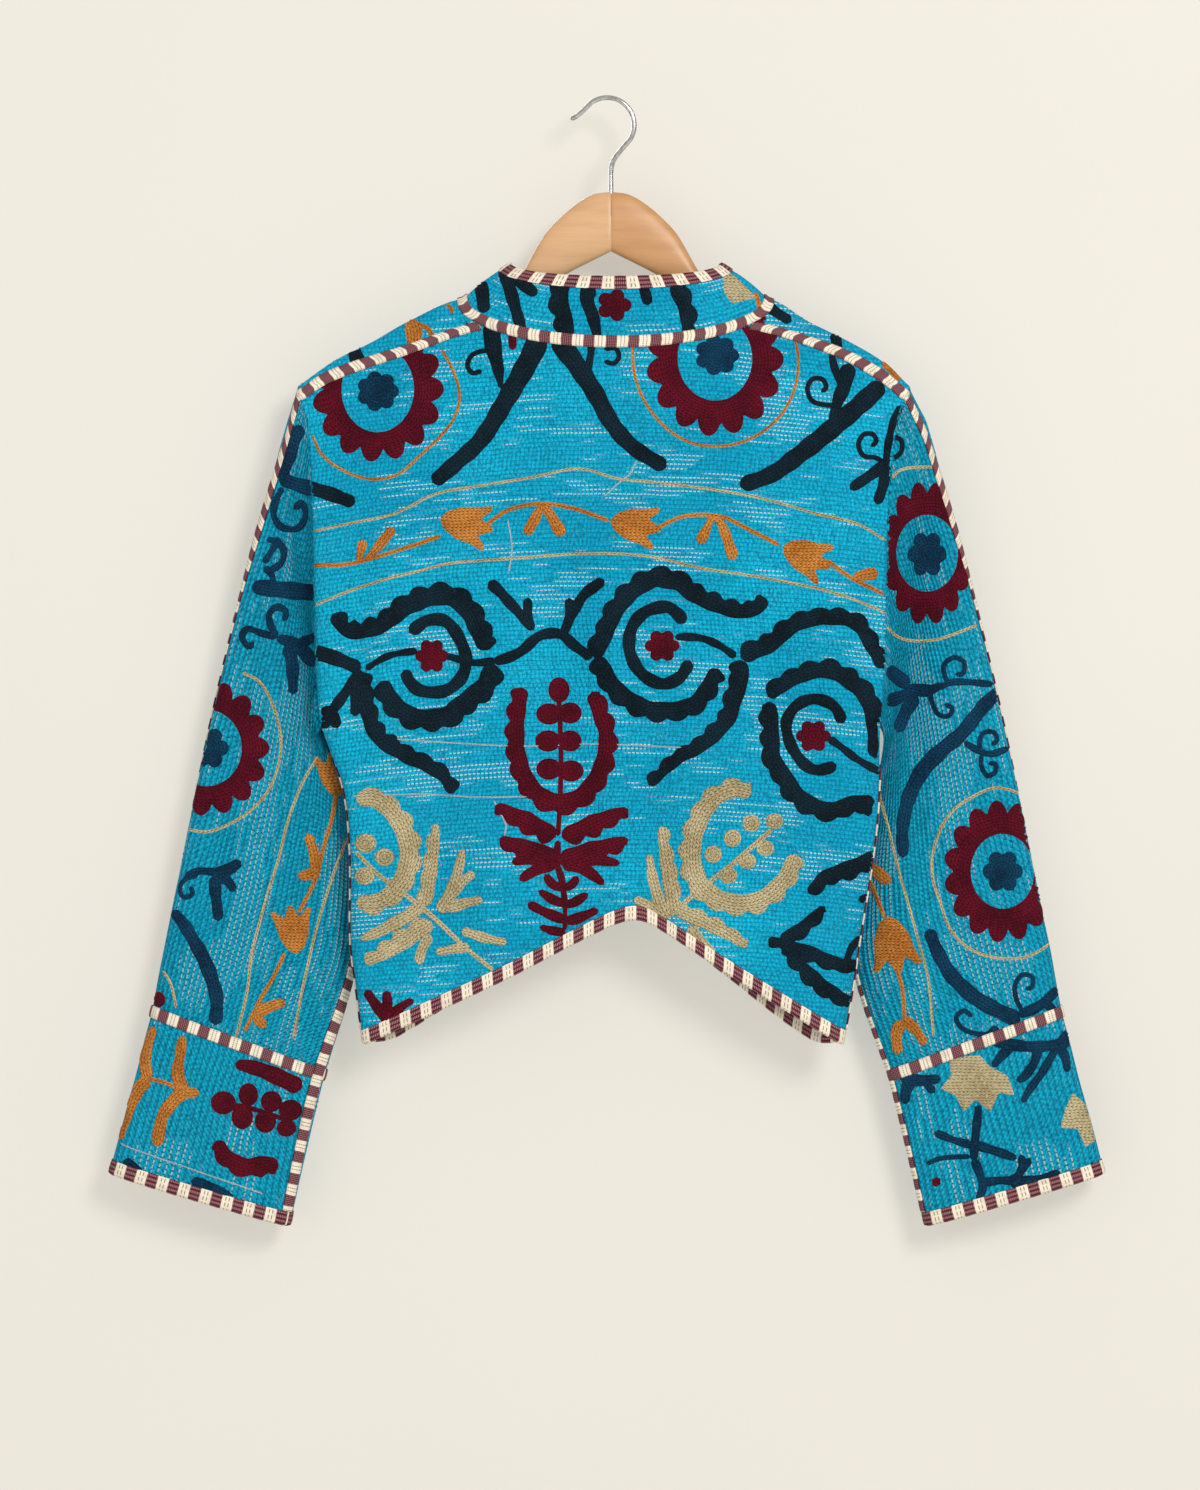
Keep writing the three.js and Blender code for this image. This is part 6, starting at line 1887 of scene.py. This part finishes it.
CUFF_FLOWER += [(992, 1114), (977, 1101), (965, 1114), (956, 1097), (941, 1090), (952, 1077)]
SIDE_FLOWER = [(1075, 1094), (1087, 1104), (1098, 1118), (1102, 1142), (1088, 1150), (1080, 1131)]
SIDE_FLOWER += [(1062, 1130), (1067, 1111)]

THREADS["white"] = thread_cloth("thread_white", linear(176, 200, 206), linear(214, 226, 228), 1.3, 2.6)


def sew_discs(work, rows):
    for colour, centre, size, lobes, depth in rows:
        work.band(colour, centre, (0, 0), size, lobes, depth)


def sew_body(work):
    """The whole design of the back; the same cloth runs on over the fronts."""
    sew(work, BACK_STROKES)
    sew(work, SHOULDER_STROKES)
    sew_discs(work, BACK_DISCS)
    work.band("maroon", (377, 388), (36, 43), (67, 74), 15, PETAL_DEPTH)
    work.band("maroon", (715, 358), (37, 42), (70, 79), 15, PETAL_DEPTH)
    work.tulip("ochre", (464, 524), 46, -12)
    work.tulip("ochre", (633, 525), 44, -10)
    work.tulip("ochre", (804, 556), 44, -24)


def sew_left_arm(work):
    sew(work, LEFT_ARM_STROKES)
    sew_discs(work, LEFT_ARM_DISCS)
    work.band("maroon", (204, 748), (35, 38), (64, 69), 15, PETAL_DEPTH)
    work.tulip("ochre", (333, 776), 40, 98)
    work.tulip("ochre", (292, 933), 42, 98)


def sew_right_arm(work):
    sew(work, RIGHT_ARM_STROKES)
    sew(work, SHOULDER_STROKES)
    sew_discs(work, RIGHT_ARM_DISCS)
    work.band("maroon", (929, 552), (31, 38), (47, 73), 14, PETAL_DEPTH)
    work.band("maroon", (1005, 872), (32, 37), (60, 72), 15, PETAL_DEPTH)
    work.tulip("ochre", (894, 943), 50, -78)
    work.shape("tan", (977, 1083), CUFF_FLOWER)
    work.shape("tan", (1083, 1122), SIDE_FLOWER)


PETAL_DEPTH = 0.19
LEFT_PANELS = ["sleeve_back_left", "sleeve_front_left", "cuff_left"]
RIGHT_PANELS = ["sleeve_back_right", "sleeve_front_right", "cuff_right"]


def stitched(name, panels, from_back, *designs, mirror=False, shift=(0, 0)):
    """Works some designs on some panels, and keeps the finished pieces under a name."""
    work = Stitching(panels, from_back, mirror, shift)
    for design in designs:
        design(work)
    work.finish(name)


stitched("back", ["back"], True, sew_body)
stitched("yoke", ["front_left", "front_right"], True, lambda work: sew(work, YOKE_STROKES))
stitched("collar", ["collar"], True, lambda work: sew(work, COLLAR_STROKES),
         lambda work: work.band("maroon", (614, 306), (0, 0), (18, 17), 5, 0.3),
         lambda work: work.shape("tan", (736, 287), COLLAR_FLOWER))
stitched("arm_left", LEFT_PANELS, True, sew_left_arm)
stitched("arm_right", RIGHT_PANELS, True, sew_right_arm)
# The far side carries the same designs, turned over and moved
stitched("fronts", ["front_left", "front_right"], False, sew_body, mirror=True, shift=(-46, 14))
stitched("far_right", RIGHT_PANELS, False, sew_left_arm, mirror=True, shift=(6, 26))
stitched("far_left", LEFT_PANELS, False, sew_right_arm, mirror=True, shift=(-8, -22))


body_strips = [strips["hem_back"], strips["shoulder_left"], strips["shoulder_right"]]
body_strips += [strips["side_left"], strips["side_right"]]


def soft_light(name, place, aim, size, power, colour):
    """A round lamp that points from its place to an aim."""
    data = bpy.data.lights.new(name, "AREA")
    data.shape = "DISK"
    data.size = size
    data.energy = power
    data.color = colour
    lamp = bpy.data.objects.new(name, data)
    lamp.location = place
    lamp.rotation_euler = (Vector(aim) - Vector(place)).to_track_quat("-Z", "Y").to_euler()
    bpy.context.scene.collection.objects.link(lamp)


def plane(name, corners, material):
    """A flat face of the room."""
    mesh = bpy.data.meshes.new(name)
    mesh.from_pydata(corners, [], [(0, 1, 2, 3)])
    made = new_object(name, mesh, material, False)
    return made


# The room, in metres
PICTURE_HEIGHT = 1490
PICTURE_CENTRE = (600, 745)
AIM = (-0.0056, 0.0, -0.519)
ROOM_HALF = 4
ROOM_NEAR = -4.5
ROOM_TOP = 3
FLOOR_Z = -1.3
WALL_Y = 0.043
WALL_GLOW = 0.49
SKY_LIGHT = 0.62
LENS = 120
SENSOR = 36
BACK_Y = -0.025
CLIP_END = 20

soft_light("key", (1.5, -3.6, 1.1), AIM, 1.4, 100, (1.0, 0.985, 0.97))
soft_light("fill", (-1.9, -2.6, -0.1), AIM, 2.4, 12, (0.97, 0.985, 1.0))
soft_light("back_light", (-1.0, 2.6, 0.7), AIM, 1.8, 34, (1.0, 0.98, 0.95))
world = bpy.data.worlds.new("studio")
bpy.context.scene.world = world
world.use_nodes = True
world.node_tree.nodes["Background"].inputs["Color"].default_value = (0.95, 0.95, 0.95, 1.0)
world.node_tree.nodes["Background"].inputs["Strength"].default_value = SKY_LIGHT

floor_paint = Shader("floor_paint", 0.8)
floor_paint.paint(floor_paint.mix(floor_paint.noise(3, 2), linear(232, 228, 220), linear(238, 235, 228)))
floor_near = [(x, ROOM_NEAR, FLOOR_Z) for x in (-ROOM_HALF, ROOM_HALF)]
floor_far = [(x, ROOM_HALF, FLOOR_Z) for x in (ROOM_HALF, -ROOM_HALF)]
plane("floor", floor_near + floor_far, floor_paint.material)

# The wall behind the jacket shows from its painted side only, so that it hides nothing from behind
# The paint glows a little, which stands for light that comes back from the room
wall_paint = Shader("wall_paint", 0.9)
wall_paint.paint(wall_paint.mix(wall_paint.noise(2, 2), linear(158, 155, 148), linear(163, 160, 153)))
wall_paint.surface.inputs["Emission Color"].default_value = linear(240, 235, 224)
wall_paint.surface.inputs["Emission Strength"].default_value = WALL_GLOW
clear_side = wall_paint.node("ShaderNodeBsdfTransparent")
two_sides = wall_paint.node("ShaderNodeMixShader")
wall_paint.link(wall_paint.node("ShaderNodeNewGeometry").outputs["Backfacing"], two_sides.inputs[0])
wall_paint.link(wall_paint.surface.outputs[0], two_sides.inputs[1])
wall_paint.link(clear_side.outputs[0], two_sides.inputs[2])
wall_paint.link(two_sides.outputs[0], wall_paint.tree.nodes["Material Output"].inputs["Surface"])
wall_foot = [(x, WALL_Y, FLOOR_Z) for x in (-ROOM_HALF, ROOM_HALF)]
wall_head = [(x, WALL_Y, ROOM_TOP) for x in (ROOM_HALF, -ROOM_HALF)]
wall = plane("wall", wall_foot + wall_head, wall_paint.material)
wall.visible_shadow = False
wall.visible_diffuse = False
wall.visible_glossy = False

# The camera frames the whole photograph at its own scale, at the depth of the jacket's back
view_height = PICTURE_HEIGHT * PIXEL * MM
camera_data = bpy.data.cameras.new("camera")
camera_data.lens = LENS
camera_data.sensor_fit = "VERTICAL"
camera_data.sensor_height = SENSOR
camera = bpy.data.objects.new("camera", camera_data)
distance = camera_data.lens * view_height / camera_data.sensor_height
camera_x = (PICTURE_CENTRE[0] - MIDDLE_PX) * PIXEL * MM
camera_z = -(PICTURE_CENTRE[1] - ORIGIN_PX) * PIXEL * MM
camera.location = (camera_x, BACK_Y - distance, camera_z)
camera.rotation_euler = (math.pi / 2, 0, 0)
camera_data.clip_end = CLIP_END
bpy.context.scene.collection.objects.link(camera)
bpy.context.scene.camera = camera
bpy.context.scene.view_settings.view_transform = "Standard"
